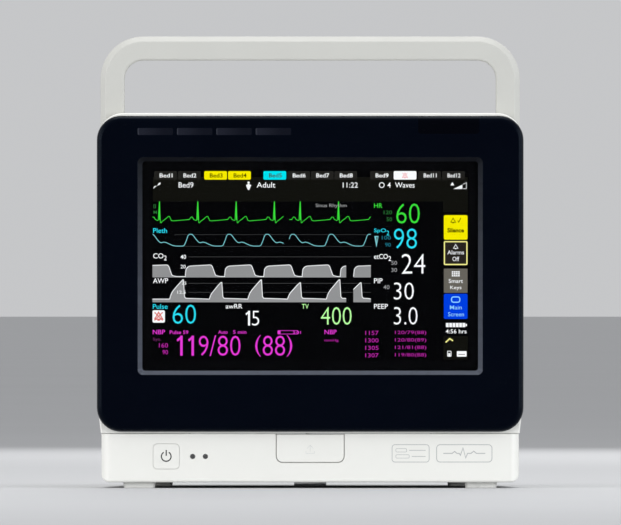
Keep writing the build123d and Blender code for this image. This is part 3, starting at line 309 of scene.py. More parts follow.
def lamp_lens(name):
    """Smoked lens: a pale reflector shows through the left part of each window."""
    shade = Shade(name)
    pitch = 24.4 * MM
    along = shade.math("SUBTRACT", shade.axis("X"), LAMPS_LOW.x + 1.0 * MM)
    place = shade.math("FRACT", shade.math("DIVIDE", along, pitch))
    glow = shade.ramp(place, 0.0, 0.75, 1.0, 0.0)
    ribs = shade.math("FRACT", shade.math("DIVIDE", along, 1.15 * MM))
    prism = shade.ramp(shade.math("ABSOLUTE", shade.math("SUBTRACT", ribs, 0.5)), 0.1, 0.5, 0, 1)
    base = shade.mix(glow, rgb(0.0015, 0.0025, 0.0075), rgb(0.009, 0.0105, 0.019))
    left_edge = shade.ramp(place, 0.0, 0.05, 0.6, 0.0)
    base = shade.mix(left_edge, base, rgb(0.05, 0.054, 0.07))
    base = shade.mix(shade.math("MULTIPLY", prism, 0.2), base, rgb(0.001, 0.0015, 0.004))
    return shade.surface(Base_Color=base, Roughness=shade.ramp(prism, 0, 1, 0.16, 0.26),
                         Specular_IOR_Level=0.12, Normal=shade.bump(prism, 0.02 * MM))


def touch_glass(name):
    """Thin hardened glass: clear, with a mirror share by angle and faint finger smears."""
    shade = Shade(name)
    clear = shade.add("ShaderNodeBsdfTransparent")
    clear.inputs["Color"].default_value = rgb(0.97, 0.98, 0.99)
    mirror = shade.add("ShaderNodeBsdfGlossy")
    smear = shade.noise(26 * MM, detail=6, rough=0.72, stretch=(1, 1, 0.6))
    shade.feed(mirror.inputs["Roughness"], shade.ramp(smear, 0.42, 0.72, 0.06, 0.2))
    mirror.inputs["Color"].default_value = rgb(0.85, 0.88, 0.95)
    angle = shade.add("ShaderNodeFresnel")
    angle.inputs["IOR"].default_value = 1.05
    both = shade.add("ShaderNodeMixShader")
    shade.feed(both.inputs[0], angle.outputs[0])
    shade.feed(both.inputs[1], clear.outputs[0])
    shade.feed(both.inputs[2], mirror.outputs[0])
    shade.feed(shade.output.inputs["Surface"], both.outputs[0])
    return shade.material


def black_ink(name):
    """Black print behind the glass."""
    shade = Shade(name)
    fine = shade.noise(0.5 * MM, detail=2)
    base = shade.mix(fine, rgb(0.0008, 0.0008, 0.001), rgb(0.002, 0.002, 0.0026))
    return shade.surface(Base_Color=base, Roughness=shade.ramp(fine, 0.3, 0.7, 0.4, 0.55),
                         Specular_IOR_Level=0.015)


def pixels_off(name):
    """Unlit liquid crystal: a grid of almost black cells."""
    shade = Shade(name)
    pitch = 0.245 * MM
    cells = shade.bricks(pitch * 4, rgb(0.0006, 0.0006, 0.0009), rgb(0.0009, 0.0009, 0.0013),
                         rgb(0.0004, 0.0004, 0.0005))
    return shade.surface(Base_Color=cells.outputs["Color"], Roughness=0.35,
                         Specular_IOR_Level=0.015)


def lit(name, colour):
    """Lit picture element, a little uneven like a backlight."""
    shade = Shade(name)
    uneven = shade.ramp(shade.noise(60 * MM, detail=2), 0.3, 0.7, 0.95, 1.03)
    return shade.surface(Base_Color=rgb(0, 0, 0), Roughness=0.5, Specular_IOR_Level=0.0,
                         Emission_Color=colour, Emission_Strength=uneven)


def printed(name, colour):
    """Pad printed ink, slightly uneven in tone."""
    shade = Shade(name)
    fine = shade.noise(0.4 * MM, detail=3)
    base = shade.mix(shade.ramp(fine, 0.35, 0.65), tinted(colour, 0.88), tinted(colour, 1.1))
    return shade.surface(Base_Color=base, Roughness=shade.ramp(fine, 0.3, 0.7, 0.44, 0.58))


# -------------------- flat shapes
def in_scene(name, data):
    """A new object in the scene that shows the given data."""
    piece = bpy.data.objects.new(name, data)
    bpy.context.scene.collection.objects.link(piece)
    return piece


def mesh_object(name, points, faces, material, body=BODY):
    mesh = bpy.data.meshes.new(name)
    mesh.from_pydata(points, [], faces)
    mesh.validate()
    mesh.update()
    mesh.materials.append(material)
    piece = in_scene(name, mesh)
    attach(piece, body)
    return piece


class Sheet:
    """Collects flat shapes, drawn in one plane, into one mesh.

    u runs to the right and v runs up, both in metres; depth steps the shape towards the viewer.
    The plane faces the front unless right and up say otherwise.
    """

    def __init__(self, origin=(0.0, 0.0), right=Vector((1, 0, 0)), up=Vector((0, 0, 1)),
                 base=Vector((0, 0, 0))):
        self.points, self.faces = [], []
        self.origin, self.right, self.up, self.base = origin, right, up, base
        self.out = right.cross(up)

    def spot(self, u, v, depth):
        return (self.base + self.right * (self.origin[0] + u) + self.up * (self.origin[1] + v)
                + self.out * depth)

    def add(self, outline, depth=0.0):
        """One face with any number of corners."""
        start = len(self.points)
        self.points += [self.spot(u, v, depth) for u, v in outline]
        self.faces.append(tuple(range(start, start + len(outline))))

    def rectangle(self, u0, u1, v0, v1, depth=0.0):
        self.add([(u0, v0), (u1, v0), (u1, v1), (u0, v1)], depth)

    def rounded(self, u0, u1, v0, v1, radius, depth=0.0):
        self.add(rounded_outline(u0, u1, v0, v1, radius), depth)

    def frame(self, u0, u1, v0, v1, radius, line, depth=0.0):
        """Rounded rectangle drawn as a line of even width."""
        outer = rounded_outline(u0, u1, v0, v1, radius)
        inner = rounded_outline(u0 + line, u1 - line, v0 + line, v1 - line,
                                max(radius - line, 0.05 * MM))
        self.band(outer, inner, depth)

    def band(self, outer, inner, depth):
        count = len(outer)
        for k in range(count):
            n = (k + 1) % count
            self.add([outer[k], outer[n], inner[n], inner[k]], depth)

    def ring(self, u, v, radius, line, depth=0.0, start=0.0, end=2 * pi, steps=40):
        """Arc from one angle to another, drawn as a line of even width."""
        for k in range(steps):
            a, b = (start + (end - start) * (k + j) / steps for j in (0, 1))
            far, near = radius + line / 2, radius - line / 2
            self.add([(u + far * cos(a), v + far * sin(a)), (u + far * cos(b), v + far * sin(b)),
                      (u + near * cos(b), v + near * sin(b)),
                      (u + near * cos(a), v + near * sin(a))], depth)

    def disc(self, u, v, radius, depth=0.0):
        steps = 28
        self.add([(u + radius * cos(2 * pi * k / steps), v + radius * sin(2 * pi * k / steps))
                  for k in range(steps)], depth)

    def line(self, route, width, depth=0.0):
        """Polyline of even width with mitred corners."""
        left, right = [], []
        for k, (u, v) in enumerate(route):
            before = Vector(route[max(k - 1, 0)])
            after = Vector(route[min(k + 1, len(route) - 1)])
            here = Vector((u, v))
            a = (here - before).normalized() if k else (after - here).normalized()
            b = (after - here).normalized() if k < len(route) - 1 else a
            middle = (a + b).normalized() if (a + b).length > 1e-6 else a
            normal = Vector((-middle.y, middle.x))
            stretch = min(2.2, 1 / max(0.3, normal.dot(Vector((-a.y, a.x)))))
            left.append(here + normal * width / 2 * stretch)
            right.append(here - normal * width / 2 * stretch)
        for k in range(len(route) - 1):
            self.add([right[k], right[k + 1], left[k + 1], left[k]], depth)

    def words(self, text, u0, u1, v0, v1, depth, weight):
        """Type that fills the box from u0 to u1 and v0 to v1; weight thickens its strokes."""
        curve = bpy.data.curves.new("type", "FONT")
        curve.body = text
        curve.resolution_u = 3
        curve.offset = weight
        holder = in_scene("type", curve)
        graph = bpy.context.evaluated_depsgraph_get()
        flat = bpy.data.meshes.new_from_object(holder.evaluated_get(graph))
        bpy.data.objects.remove(holder)
        bpy.data.curves.remove(curve)
        spots = [vertex.co.copy() for vertex in flat.vertices]
        low = Vector((min(p.x for p in spots), min(p.y for p in spots)))
        high = Vector((max(p.x for p in spots), max(p.y for p in spots)))
        wide, tall = (u1 - u0) / (high.x - low.x), (v1 - v0) / (high.y - low.y)
        start = len(self.points)
        self.points += [self.spot(u0 + (p.x - low.x) * wide, v0 + (p.y - low.y) * tall, depth)
                        for p in spots]
        self.faces += [tuple(start + k for k in face.vertices) for face in flat.polygons]
        bpy.data.meshes.remove(flat)

    def piece(self, name, material, slot, body=BODY):
        return mesh_object(name, self.points, self.faces, material, body)


def rounded_outline(u0, u1, v0, v1, radius):
    """Corners of a rounded rectangle, anticlockwise from the lower right."""
    outline, steps = [], 6
    for u, v, start in ((u1 - radius, v0 + radius, -pi / 2), (u1 - radius, v1 - radius, 0),
                        (u0 + radius, v1 - radius, pi / 2), (u0 + radius, v0 + radius, pi)):
        for k in range(steps + 1):
            angle = start + pi / 2 * k / steps
            outline.append((u + radius * cos(angle), v + radius * sin(angle)))
    return outline


# -------------------- picture on the display
class Picture:
    """The display's picture. Places are millimetres from the top left corner of the lit area."""

    def __init__(self):
        self.inks = {}

    def ink(self, colour):
        if colour not in self.inks:
            self.inks[colour] = Sheet(base=Vector((DISPLAY_LEFT, PICTURE_Y, DISPLAY_TOP)))
        return self.inks[colour]

    def text(self, colour, words, left, right, top, bottom, layer=3, weight=0.006):
        self.ink(colour).words(words, left * MM, right * MM, -bottom * MM, -top * MM,
                               layer * LAYER, weight)

    def one(self, colour, left, right, top, bottom, stroke):
        """Digit one with its flag; the built in type draws it as a plain bar."""
        bar = right - stroke / 2
        self.trace(colour, [(bar, bottom), (bar, top)], stroke)
        reach = (bottom - top) * 0.19
        self.area(colour, [(left, top + reach), (left + stroke * 0.35, top + reach * 1.55),
                           (bar, top + reach * 0.75), (bar, top)], 3)

    def label(self, colour, words, sub, left, right, top, bottom):
        """Small name that ends in a lowered digit."""
        split = right - 1.7
        self.text(colour, words, left, split - 0.3, top, bottom)
        self.text(colour, sub, split, right, top + 1.3, bottom + 1.2)

    def panel(self, colour, left, right, top, bottom, radius=0.6, layer=1):
        self.ink(colour).rounded(left * MM, right * MM, -bottom * MM, -top * MM, radius * MM,
                                 layer * LAYER)

    def outline(self, colour, left, right, top, bottom, radius=0.6, line=0.4, layer=2):
        self.ink(colour).frame(left * MM, right * MM, -bottom * MM, -top * MM, radius * MM,
                               line * MM, layer * LAYER)

    def trace(self, colour, route, width, layer=3):
        self.ink(colour).line([(x * MM, -y * MM) for x, y in route], width * MM, layer * LAYER)

    def area(self, colour, corners, layer=2):
        """Filled shape, from its corners."""
        self.ink(colour).add([(x * MM, -y * MM) for x, y in corners], layer * LAYER)


LIT = {
    "green": rgb(0.045, 0.74, 0.045), "green_pale": rgb(0.50, 1.0, 0.36),
    "green_dim": rgb(0.02, 0.15, 0.03), "cyan": rgb(0.025, 0.72, 0.86),
    "cyan_pale": rgb(0.22, 0.62, 0.66), "cyan_dim": rgb(0.012, 0.16, 0.21),
    "white": rgb(1.0, 1.0, 1.0), "grey": rgb(0.30, 0.30, 0.30),
    "grey_dim": rgb(0.055, 0.055, 0.055), "magenta": rgb(0.80, 0.045, 0.66),
    "magenta_mid": rgb(0.45, 0.02, 0.34), "magenta_dim": rgb(0.14, 0.02, 0.11),
    "header": rgb(0.0058, 0.0058, 0.0042), "tab": rgb(0.017, 0.016, 0.014),
    "yellow": rgb(1.0, 0.88, 0.0), "yellow_pale": rgb(1.0, 0.94, 0.30),
    "turquoise": rgb(0.0, 0.78, 0.88), "red": rgb(0.74, 0.10, 0.08),
    "rose": rgb(0.95, 0.50, 0.52), "brown": rgb(0.022, 0.018, 0.014),
    "taupe": rgb(0.145, 0.133, 0.110), "blue": rgb(0.0, 0.052, 0.78),
    "sky": rgb(0.28, 0.66, 1.0), "ink": rgb(0.055, 0.05, 0.0),
}

WAVE_END, SWEEP_GAP = 135.6, (81.5, 85.0)               # end of the waves, gap at the sweep
BREATH_GAP = (120.3, 124.8)                             # the same gap in the two breath waves
SILENCED = "Bed10"                                      # its tab shows a crossed bell


def clipped(route, low, high):
    """The part of a route, given by rising x, that lies between two values of x."""
    kept = []
    for (x0, y0), (x1, y1) in zip(route, route[1:]):
        if x1 <= low or x0 >= high or x1 <= x0:
            continue
        for x in (max(x0, low), min(x1, high)):
            y = y0 + (y1 - y0) * (x - x0) / (x1 - x0)
            if not kept or abs(kept[-1][0] - x) > 1e-6 or abs(kept[-1][1] - y) > 1e-6:
                kept.append((x, y))
    return kept


def repeated(places, shape):
    """One route from a shape drawn round each place; later places cut earlier tails short."""
    route = []
    for place in places:
        while route and route[-1][0] > place + shape[0][0] - 0.05:
            route.pop()
        route += [(place + dx, y) for dx, y in shape]
    return route


def ecg_wave(beats):
    """Heart beats: P bump, QRS spike, T bump, flat line that creeps up."""
    base = 30.9
    beat = [(-6.6, -0.3), (-5.2, -0.4), (-4.2, -1.9), (-3.3, -1.8), (-2.5, -0.3), (-1.2, 0.2),
            (-0.75, 0.1), (-0.1, -11.4), (0.1, -11.4), (0.6, 1.6), (1.1, 1.7), (1.6, 0.8),
            (3.6, -0.6), (5.4, -2.2), (6.3, -2.2), (7.3, 0.2), (8.4, 0.5), (16.8, -0.2)]
    return repeated(beats, [(dx, base + dy) for dx, dy in beat])


def pleth_wave(peaks):
    """Pulse wave: quick rise, rounded peak, notch on the way down, flat foot."""
    top, foot = 39.7, 47.0
    pulse = [(-4.8, 1.0), (-3.9, 0.92), (-2.6, 0.5), (-1.7, 0.12), (-0.8, 0.0), (0.8, 0.0),
             (1.7, 0.12), (3.6, 0.48), (5.0, 0.68), (6.0, 0.72), (7.6, 0.66), (9.0, 0.70),
             (11.0, 0.83), (13.2, 0.96), (15.0, 1.0), (18.9, 1.0)]
    return repeated(peaks, [(dx, top + (foot - top) * share) for dx, share in pulse])


def co2_wave(breaths):
    """Breath after breath: steep rise, slowly rising plateau, slanted fall with a short tail."""
    foot, top = 65.9, 58.7
    route = []
    for start, end in breaths:
        route += [(start, foot), (start + 0.5, top + 2.6), (start + 1.6, top + 1.3),
                  (start + 3.0, top + 0.7), (end - 1.6, top), (end - 0.7, top + 0.2),
                  (end, top + 1.2), (end + 1.7, foot - 1.2), (end + 2.2, foot - 0.6),
                  (end + 4.6, foot)]
    return route


def pressure_wave(strokes):
    """Airway pressure: a ramp that bends over, a sharp peak and a steep fall."""
    base = 79.9
    route = [(0.0, base)]
    for start, peak, top in strokes:
        rise = base - top
        route += [(start, base), (start + 1.2, base - 0.30 * rise), (start + 2.6, base - 0.48 * rise),
                  (peak - 1.6, base - 0.88 * rise), (peak - 0.3, top), (peak + 0.2, top),
                  (peak + 0.8, base - 1.6), (peak + 1.6, base - 0.5), (peak + 4.0, base - 0.4)]
    return route + [(WAVE_END + 1, base)]


def draw_header(picture):
    """Row of bed tabs and the status row below it."""
    picture.panel("header", 0.4, 180.4, 4.2, 19.4, 0.1, 1)
    picture.panel("header", 180.4, 195.8, 4.2, 26.0, 0.1, 1)
    tabs = [("Bed1", 1.2), ("Bed2", 16.0), ("Bed3", 32.3), ("Bed4", 47.1), ("Bed5", 69.0),
            ("Bed6", 83.8), ("Bed7", 98.4), ("Bed8", 113.0), ("Bed9", 135.2), ("Bed10", 149.8),
            ("Bed11", 165.0), ("Bed12", 179.8)]
    fills = {"Bed3": ("yellow", "ink"), "Bed4": ("yellow", "ink"), "Bed5": ("turquoise", "ink"),
             SILENCED: ("white", "rose")}
    for name, left in tabs:
        fill, mark = fills.get(name, ("tab", "white"))
        picture.panel(fill, left, left + 14.1, 0.5, 5.8, 0.8, 2)
        if name == SILENCED:
            draw_bell(picture, mark, left + 7.0, 3.2, 1.6, crossed=True)
        else:
            picture.text(mark, name, left + 3.4, left + 11.4, 1.9, 4.5, 3, 0.014)
    for words, left, right, top in (
            ("Bed9", 16.4, 25.6, 7.4), ("Adult", 64.8, 76.4, 7.4), ("11:22", 118.2, 127.6, 7.5),
            ("4", 145.9, 148.0, 7.5), ("Waves", 150.6, 162.8, 7.5)):
        picture.text("white", words, left, right, top, 10.8)
    picture.trace("white", [(0.9, 11.2), (1.6, 10.0), (2.6, 9.9)], 0.5)
    picture.area("white", [(3.0, 9.7), (4.2, 7.8), (5.3, 7.6), (5.0, 8.8)])
    white = picture.ink("white")
    white.disc(59.8 * MM, -7.7 * MM, 0.75 * MM, 3 * LAYER)
    picture.area("white", [(59.4, 12.2), (58.1, 9.2), (59.8, 8.4), (61.5, 9.2), (60.2, 12.2)])
    white.ring(142.4 * MM, -9.2 * MM, 1.5 * MM, 0.5 * MM, 3 * LAYER)
    picture.area("white", [(185.0, 9.4), (186.2, 7.2), (187.4, 9.4)])
    picture.area("white", [(186.8, 11.6), (192.4, 11.6), (192.4, 8.9)])
    picture.trace("white", [(192.8, 11.4), (194.9, 11.4), (194.9, 7.7), (192.8, 8.7)], 0.3)


def draw_bell(picture, colour, x, y, size, crossed=False):
    """Alarm bell: a triangle with a clapper, and a cross through it when switched off."""
    picture.trace(colour, [(x - size, y + size * 0.7), (x, y - size), (x + size, y + size * 0.7),
                           (x - size, y + size * 0.7)], size * 0.26, 4)
    picture.trace(colour, [(x - size * 0.3, y + size * 0.95), (x + size * 0.3, y + size * 0.95)],
                  size * 0.3, 4)
    if crossed:
        picture.trace(colour, [(x - size, y + size), (x + size, y - size)], size * 0.24, 4)
        picture.trace(colour, [(x - size, y - size), (x + size, y + size)], size * 0.24, 4)


def draw_waves(picture):
    """The four waves, each broken where the sweep writes over the old trace."""
    before, after = (0.2, SWEEP_GAP[0]), (SWEEP_GAP[1], WAVE_END)
    for (low, high), beats, peaks in ((before, (4.5, 28.3, 52.1, 75.8), (-0.3, 23.9, 47.9, 71.4)),
                                      (after, (68.0, 91.8, 115.6, 139.4), (87.4, 111.2, 135.0))):
        picture.trace("green", clipped(ecg_wave(beats), low, high), 0.36)
        picture.trace("cyan_pale", clipped(pleth_wave(peaks), low, high), 0.42)
        for beat in beats:
            if low < beat < high:
                picture.trace("green", [(beat, 20.0), (beat, 30.8)], 0.62)
    for y in (39.9, 47.2):
        picture.trace("grey_dim", [(14.0, y), (WAVE_END, y)], 0.2, 1)
    for y in (53.7, 70.1, 75.7):
        picture.trace("grey_dim", [(22.5, y), (WAVE_END, y)], 0.3, 1)
    left = (0.2, BREATH_GAP[0])
    breaths = ((-14.0, 10.4), (20.5, 37.4), (44.9, 62.0), (69.2, 86.4), (93.0, 110.2),
               (116.6, 133.0))
    strokes = ((10.8, 19.2, 67.9), (35.4, 43.0, 69.6), (59.3, 67.6, 68.0), (83.9, 91.8, 69.8),
               (108.0, 116.2, 67.9))
    right = (BREATH_GAP[1], WAVE_END)
    co2_floor, pressure_floor = 66.3, 81.7
    filled_wave(picture, clipped(co2_wave(breaths), *left), co2_floor)
    filled_wave(picture, clipped(co2_wave(((124.9, 150.0),)), *right), co2_floor)
    filled_wave(picture, clipped(pressure_wave(strokes), *left), pressure_floor)
    filled_wave(picture, clipped(pressure_wave(((121.0, 129.4, 69.8),)), *right), pressure_floor)


def filled_wave(picture, top, floor):
    """Grey area under a wave, with a bright line on its top and its floor."""
    for (x0, y0), (x1, y1) in zip(top, top[1:]):
        picture.area("grey", [(x0, floor), (x1, floor), (x1, y1), (x0, y0)], 2)
    picture.trace("white", top, 0.42)
    picture.trace("grey", [(top[0][0], floor), (top[-1][0], floor)], 0.3, 3)


def draw_readings(picture):
    """Names, limits and large numerals of the measurements."""
    thinner = -0.012
    readings = [
        ("green", "60", 151.4, 166.0, 20.6, 33.0), ("cyan", "98", 149.9, 164.2, 36.1, 48.6),
        ("white", "24", 154.7, 169.4, 51.9, 64.2), ("white", "30", 149.9, 162.3, 69.6, 80.2),
        ("white", "3.0", 149.9, 164.6, 84.8, 95.7), ("cyan", "60", 12.7, 27.2, 83.3, 95.2),
        ("white", "5", 61.9, 66.4, 87.2, 96.3), ("green_pale", "400", 104.6, 123.7, 84.8, 95.8),
        ("magenta", "9", 28.9, 34.9, 102.6, 115.0), ("magenta", "/", 35.6, 39.7, 102.4, 115.2),
        ("magenta", "80", 40.6, 54.8, 102.6, 115.0), ("magenta", "(", 63.9, 67.4, 102.2, 115.6),
        ("magenta", "88", 68.6, 82.4, 102.6, 115.0), ("magenta", ")", 83.4, 86.9, 102.2, 115.6),
    ]
    for reading in readings:
        picture.text(*reading, 3, thinner)
    picture.one("white", 57.9, 60.7, 87.2, 96.3, 1.25)
    picture.one("magenta", 15.2, 18.9, 102.6, 115.0, 1.5)
    picture.one("magenta", 22.3, 25.9, 102.6, 115.0, 1.5)
    picture.label("cyan", "SpO", "2", 137.6, 147.0, 36.1, 39.2)
    picture.label("white", "etCO", "2", 137.6, 148.2, 51.9, 55.0)
    picture.label("white", "CO", "2", 0.6, 9.0, 51.5, 54.7)
    names = [
        ("green", "HR", 137.6, 142.8, 20.5, 23.3), ("white", "PIP", 137.6, 142.9, 67.0, 70.1),
        ("white", "PEEP", 137.6, 146.2, 82.9, 85.9), ("cyan", "Pleth", 0.6, 9.2, 35.9, 38.9),
        ("white", "AWP", 0.5, 9.9, 66.9, 70.1), ("cyan", "Pulse", 0.4, 9.6, 83.0, 86.0),
        ("white", "awRR", 45.6, 56.0, 82.9, 85.8), ("green_pale", "TV", 92.8, 97.1, 82.9, 85.9),
        ("magenta", "NBP", 0.4, 8.0, 98.9, 101.7), ("magenta", "Pulse 59", 10.9, 22.4, 99.3, 101.6),
        ("magenta", "Auto", 41.0, 46.8, 99.2, 101.4), ("magenta", "5 min", 50.2, 58.4, 99.2, 101.4),
        ("magenta", "NBP", 106.9, 114.4, 98.9, 101.7),
        ("magenta_mid", "mmHg", 106.9, 115.6, 104.6, 106.6),
        ("grey", "Sinus Rhythm", 101.4, 120.6, 20.7, 23.5), ("green_dim", "II", 0.8, 2.2, 21.0, 23.6),
        ("green_dim", "M", 0.8, 3.0, 25.0, 27.0),
    ]
    for name in names:
        picture.text(*name)
    limits = [
        ("green_dim", "120", 143.6, 148.8, 24.9, 27.3), ("green_dim", "50", 145.4, 148.8, 29.2, 31.6),
        ("cyan_dim", "100", 142.4, 148.0, 40.6, 43.0), ("cyan_dim", "90", 144.5, 148.0, 45.0, 47.4),
        ("grey", "50", 148.3, 151.9, 56.2, 58.7), ("grey", "30", 148.3, 151.9, 60.6, 63.1),
        ("grey", "40", 143.4, 147.2, 71.2, 73.8), ("white", "40", 17.6, 21.0, 52.4, 55.0),
        ("white", "20", 17.6, 20.8, 58.6, 60.9), ("white", "25", 18.4, 21.2, 69.0, 71.0),
        ("white", "12.5", 15.6, 20.8, 74.6, 76.6), ("magenta_dim", "Sys.", 0.4, 5.6, 103.8, 106.2),
        ("magenta_mid", "160", 4.2, 9.8, 107.2, 110.0), ("magenta_mid", "90", 6.4, 9.8, 111.4, 114.2),
    ]
    for limit in limits:
        picture.text(*limit, 4)
    picture.area("cyan_pale", [(137.8, 40.8), (139.1, 47.9), (140.4, 40.8)])
    picture.area("ink", [(138.9, 41.4), (139.4, 44.6), (139.9, 41.4)], 3)


def draw_alarm_marks(picture):
    """Switched off alarm mark and the timer bar of the cuff."""
    picture.panel("white", 0.2, 7.9, 86.8, 94.5, 1.0, 2)
    draw_bell(picture, "red", 4.0, 90.6, 2.5, crossed=True)
    picture.outline("magenta", 77.8, 90.6, 99.3, 101.7, 0.4, 0.28)
    picture.panel("magenta", 77.8, 79.6, 99.3, 101.7, 0.4, 2)
    picture.text("magenta", "3:01", 87.2, 92.2, 99.7, 101.5)


def draw_cuff_log(picture):
    """Four past cuff readings with their times."""
    rows = [("1157", "120/79(88)"), ("1300", "120/80(89)"), ("1305", "121/81(88)"),
            ("1307", "119/80(88)")]
    for row, (time, value) in enumerate(rows):
        middle = 100.9 + 4.62 * row
        picture.text("magenta_mid", time, 132.2, 140.4, middle - 1.3, middle + 1.3)
        picture.text("magenta_mid", value, 150.6, 170.0, middle - 1.4, middle + 1.4, 3, 0.0)


def draw_keys(picture):
    """Column of touch keys, the battery gauge and the status marks below them."""
    left, right = 180.9, 195.6
    middle = (left + right) / 2
    picture.panel("yellow", left, right, 27.8, 43.0, 0.9, 2)
    draw_bell(picture, "ink", middle - 1.6, 31.2, 1.5)
    picture.trace("ink", [(middle + 1.3, 31.2), (middle + 1.9, 32.2), (middle + 3.2, 29.6)], 0.4, 4)
    picture.text("ink", "Silence", left + 2.2, right - 2.2, 35.8, 38.6, 4, 0.035)
    picture.panel("brown", left, right, 43.9, 58.8, 0.9, 2)
    picture.outline("yellow_pale", left, right, 43.9, 58.8, 0.9, 0.75, 3)
    draw_bell(picture, "white", middle, 47.4, 1.4)
    picture.text("white", "Alarms", left + 2.2, right - 2.2, 49.6, 52.2, 4)
    picture.text("white", "Off", middle - 2.0, middle + 2.2, 53.6, 56.4, 4)
    picture.panel("taupe", left, right, 61.0, 76.0, 0.3, 2)
    for row in range(3):
        for column in range(4):
            x, y = middle - 2.4 + 1.3 * column, 62.6 + 1.2 * row
            picture.panel("white", x, x + 1.0, y, y + 0.85, 0.1, 4)
    picture.text("white", "Smart", left + 3.0, right - 2.8, 67.4, 69.9, 4)
    picture.text("white", "Keys", middle - 3.4, middle + 3.6, 71.6, 74.4, 4)
    picture.panel("blue", left, right, 76.6, 92.2, 0.9, 2)
    picture.outline("sky", middle - 2.9, middle + 2.9, 78.2, 82.2, 1.6, 0.7, 4)
    picture.text("sky", "Main", middle - 3.6, middle + 3.8, 83.8, 86.3, 4)
    picture.text("sky", "Screen", left + 2.6, right - 2.2, 88.0, 90.6, 4)
    for cell in range(6):
        x = 182.2 + 2.05 * cell
        picture.panel("white", x, x + 1.75, 94.7, 97.3, 0.2, 3)
    picture.panel("white", 194.4, 195.2, 95.3, 96.7, 0.2, 3)
    picture.text("white", "4:56 hrs", 182.0, 195.0, 98.6, 101.2)
    picture.panel("header", 180.6, 195.8, 102.8, 117.4, 0.1, 1)
    picture.trace("yellow_pale", [(182.0, 106.8), (184.6, 104.4), (186.6, 105.8)], 0.8)
    picture.outline("white", 183.0, 185.6, 112.0, 115.6, 0.5, 0.4)
    picture.panel("white", 183.6, 185.0, 113.4, 115.2, 0.2, 3)
    picture.panel("white", 189.0, 195.0, 112.2, 115.6, 0.3, 2)
    picture.trace("header", [(190.0, 114.2), (194.0, 114.2)], 0.35, 4)


def make_picture():
    picture = Picture()
    for draw in (draw_header, draw_waves, draw_readings, draw_alarm_marks, draw_cuff_log,
                 draw_keys):
        draw(picture)
    for name, sheet in picture.inks.items():
        sheet.piece("picture_" + name, lit("lit_" + name, LIT[name]), "display")


def ink_border():
    """Black print round the lit area, on the back of the touch glass."""
    sheet = Sheet(base=Vector((0, GLASS_HIGH.y + 0.04 * MM, 0)))
    edge = 0.6 * MM
    outer = rounded_outline(GLASS_LOW.x + edge, GLASS_HIGH.x - edge, GLASS_LOW.z + edge,
                            GLASS_HIGH.z - edge, 2 * MM)
    inner = rounded_outline(DISPLAY_LEFT - 0.3 * MM, DISPLAY_LEFT + DISPLAY_W + 0.3 * MM,
                            DISPLAY_TOP - DISPLAY_H - 0.3 * MM, DISPLAY_TOP + 0.3 * MM, 0.2 * MM)
    sheet.band(outer, inner, 0)
    sheet.piece("glass_border", black_ink("border_ink"), "touch_glass")


# -------------------- printed marks on the case
PRINT = 0.03 * MM                                       # how far a print stands off its face


def front_sheet(node, u, v):
    """Sheet on a node's front face, centred on a place in X and Z."""
    return Sheet(origin=(u, v), base=Vector((0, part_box(node)[0].y, 0)))


def power_symbol(ink):
    middle = centre_of("power_key")
    sheet = front_sheet("power_key", middle.x, middle.z)
    line, radius, opening = 0.75 * MM, 3.0 * MM, 0.55
    sheet.ring(0, 0, radius, line, PRINT, pi / 2 + opening, pi / 2 + 2 * pi - opening)
    sheet.rectangle(-line / 2, line / 2, 0.4 * MM, radius + 1.0 * MM, PRINT)
    sheet.piece("power_symbol", ink, "white_key", "power_key")


def release_symbol(ink):
    """Faint mark on the release key: an arrow up out of a slot."""
    sheet = front_sheet("release_key", 0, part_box("release_key")[0].z + 11 * MM)
    head, stem = [(-1.9, 0), (0, 2.2), (1.9, 0)], [(0, 1.9), (0, -2.0)]
    slot = [(-2.6, -1.6), (-2.6, -3.0), (2.6, -3.0), (2.6, -1.6)]
    for route in (head, stem, slot):
        sheet.line([(u * MM, v * MM) for u, v in route], 0.35 * MM, PRINT)
    sheet.piece("release_symbol", ink, "white_key", "release_key")


def label_boxes(ink):
    """Two outlined fields on the right of the base: plain glyphs, no lettering."""
    sheet = front_sheet("base_tray", 0, 0)
    line = 0.42 * MM
    low, high = 16.0 * MM, 27.2 * MM
    middle = (low + high) / 2
    sheet.frame(50.6 * MM, 74.0 * MM, low, high, 2.0 * MM, line, PRINT)
    sheet.frame(78.2 * MM, 113.0 * MM, low, high, 2.4 * MM, line * 1.1, PRINT)
    for row, end in enumerate((60.0, 61.6)):
        v = middle + (1.9 - 3.8 * row) * MM
        sheet.frame(53.0 * MM, end * MM, v - 1.2 * MM, v + 1.2 * MM, 0.8 * MM, 0.3 * MM, PRINT)
        sheet.line([((end + 1.4) * MM, v), (71.6 * MM, v)], 0.4 * MM, PRINT)
    pulse = [(-13, 0), (-7.5, 0), (-6, 1.2), (-4.6, 0), (-3.2, 0), (-2.4, -1.2), (-0.8, 3.4),
             (0.9, -2.9), (2.0, 0), (4.2, 0), (5.8, 1.4), (7.6, 0), (13, 0)]
    sheet.line([(95.6 * MM + u * MM, middle + v * MM) for u, v in pulse], 0.55 * MM, PRINT)
    sheet.piece("base_labels", ink, "white_case")


def side_sheet(panel, node, rise):
    """Sheet on the outer face of the side panel, centred above one of its sockets."""
    faces = [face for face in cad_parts[panel].data.polygons if face.normal.x < -0.9]
    outer = max(faces, key=lambda face: face.area)
    out, up = outer.normal.copy(), Vector((0, 0, 1))
    middle = centre_of(node)
    spot = middle - out * (middle - outer.center).dot(out)
    return Sheet(right=up.cross(out), up=up, base=spot + up * rise)


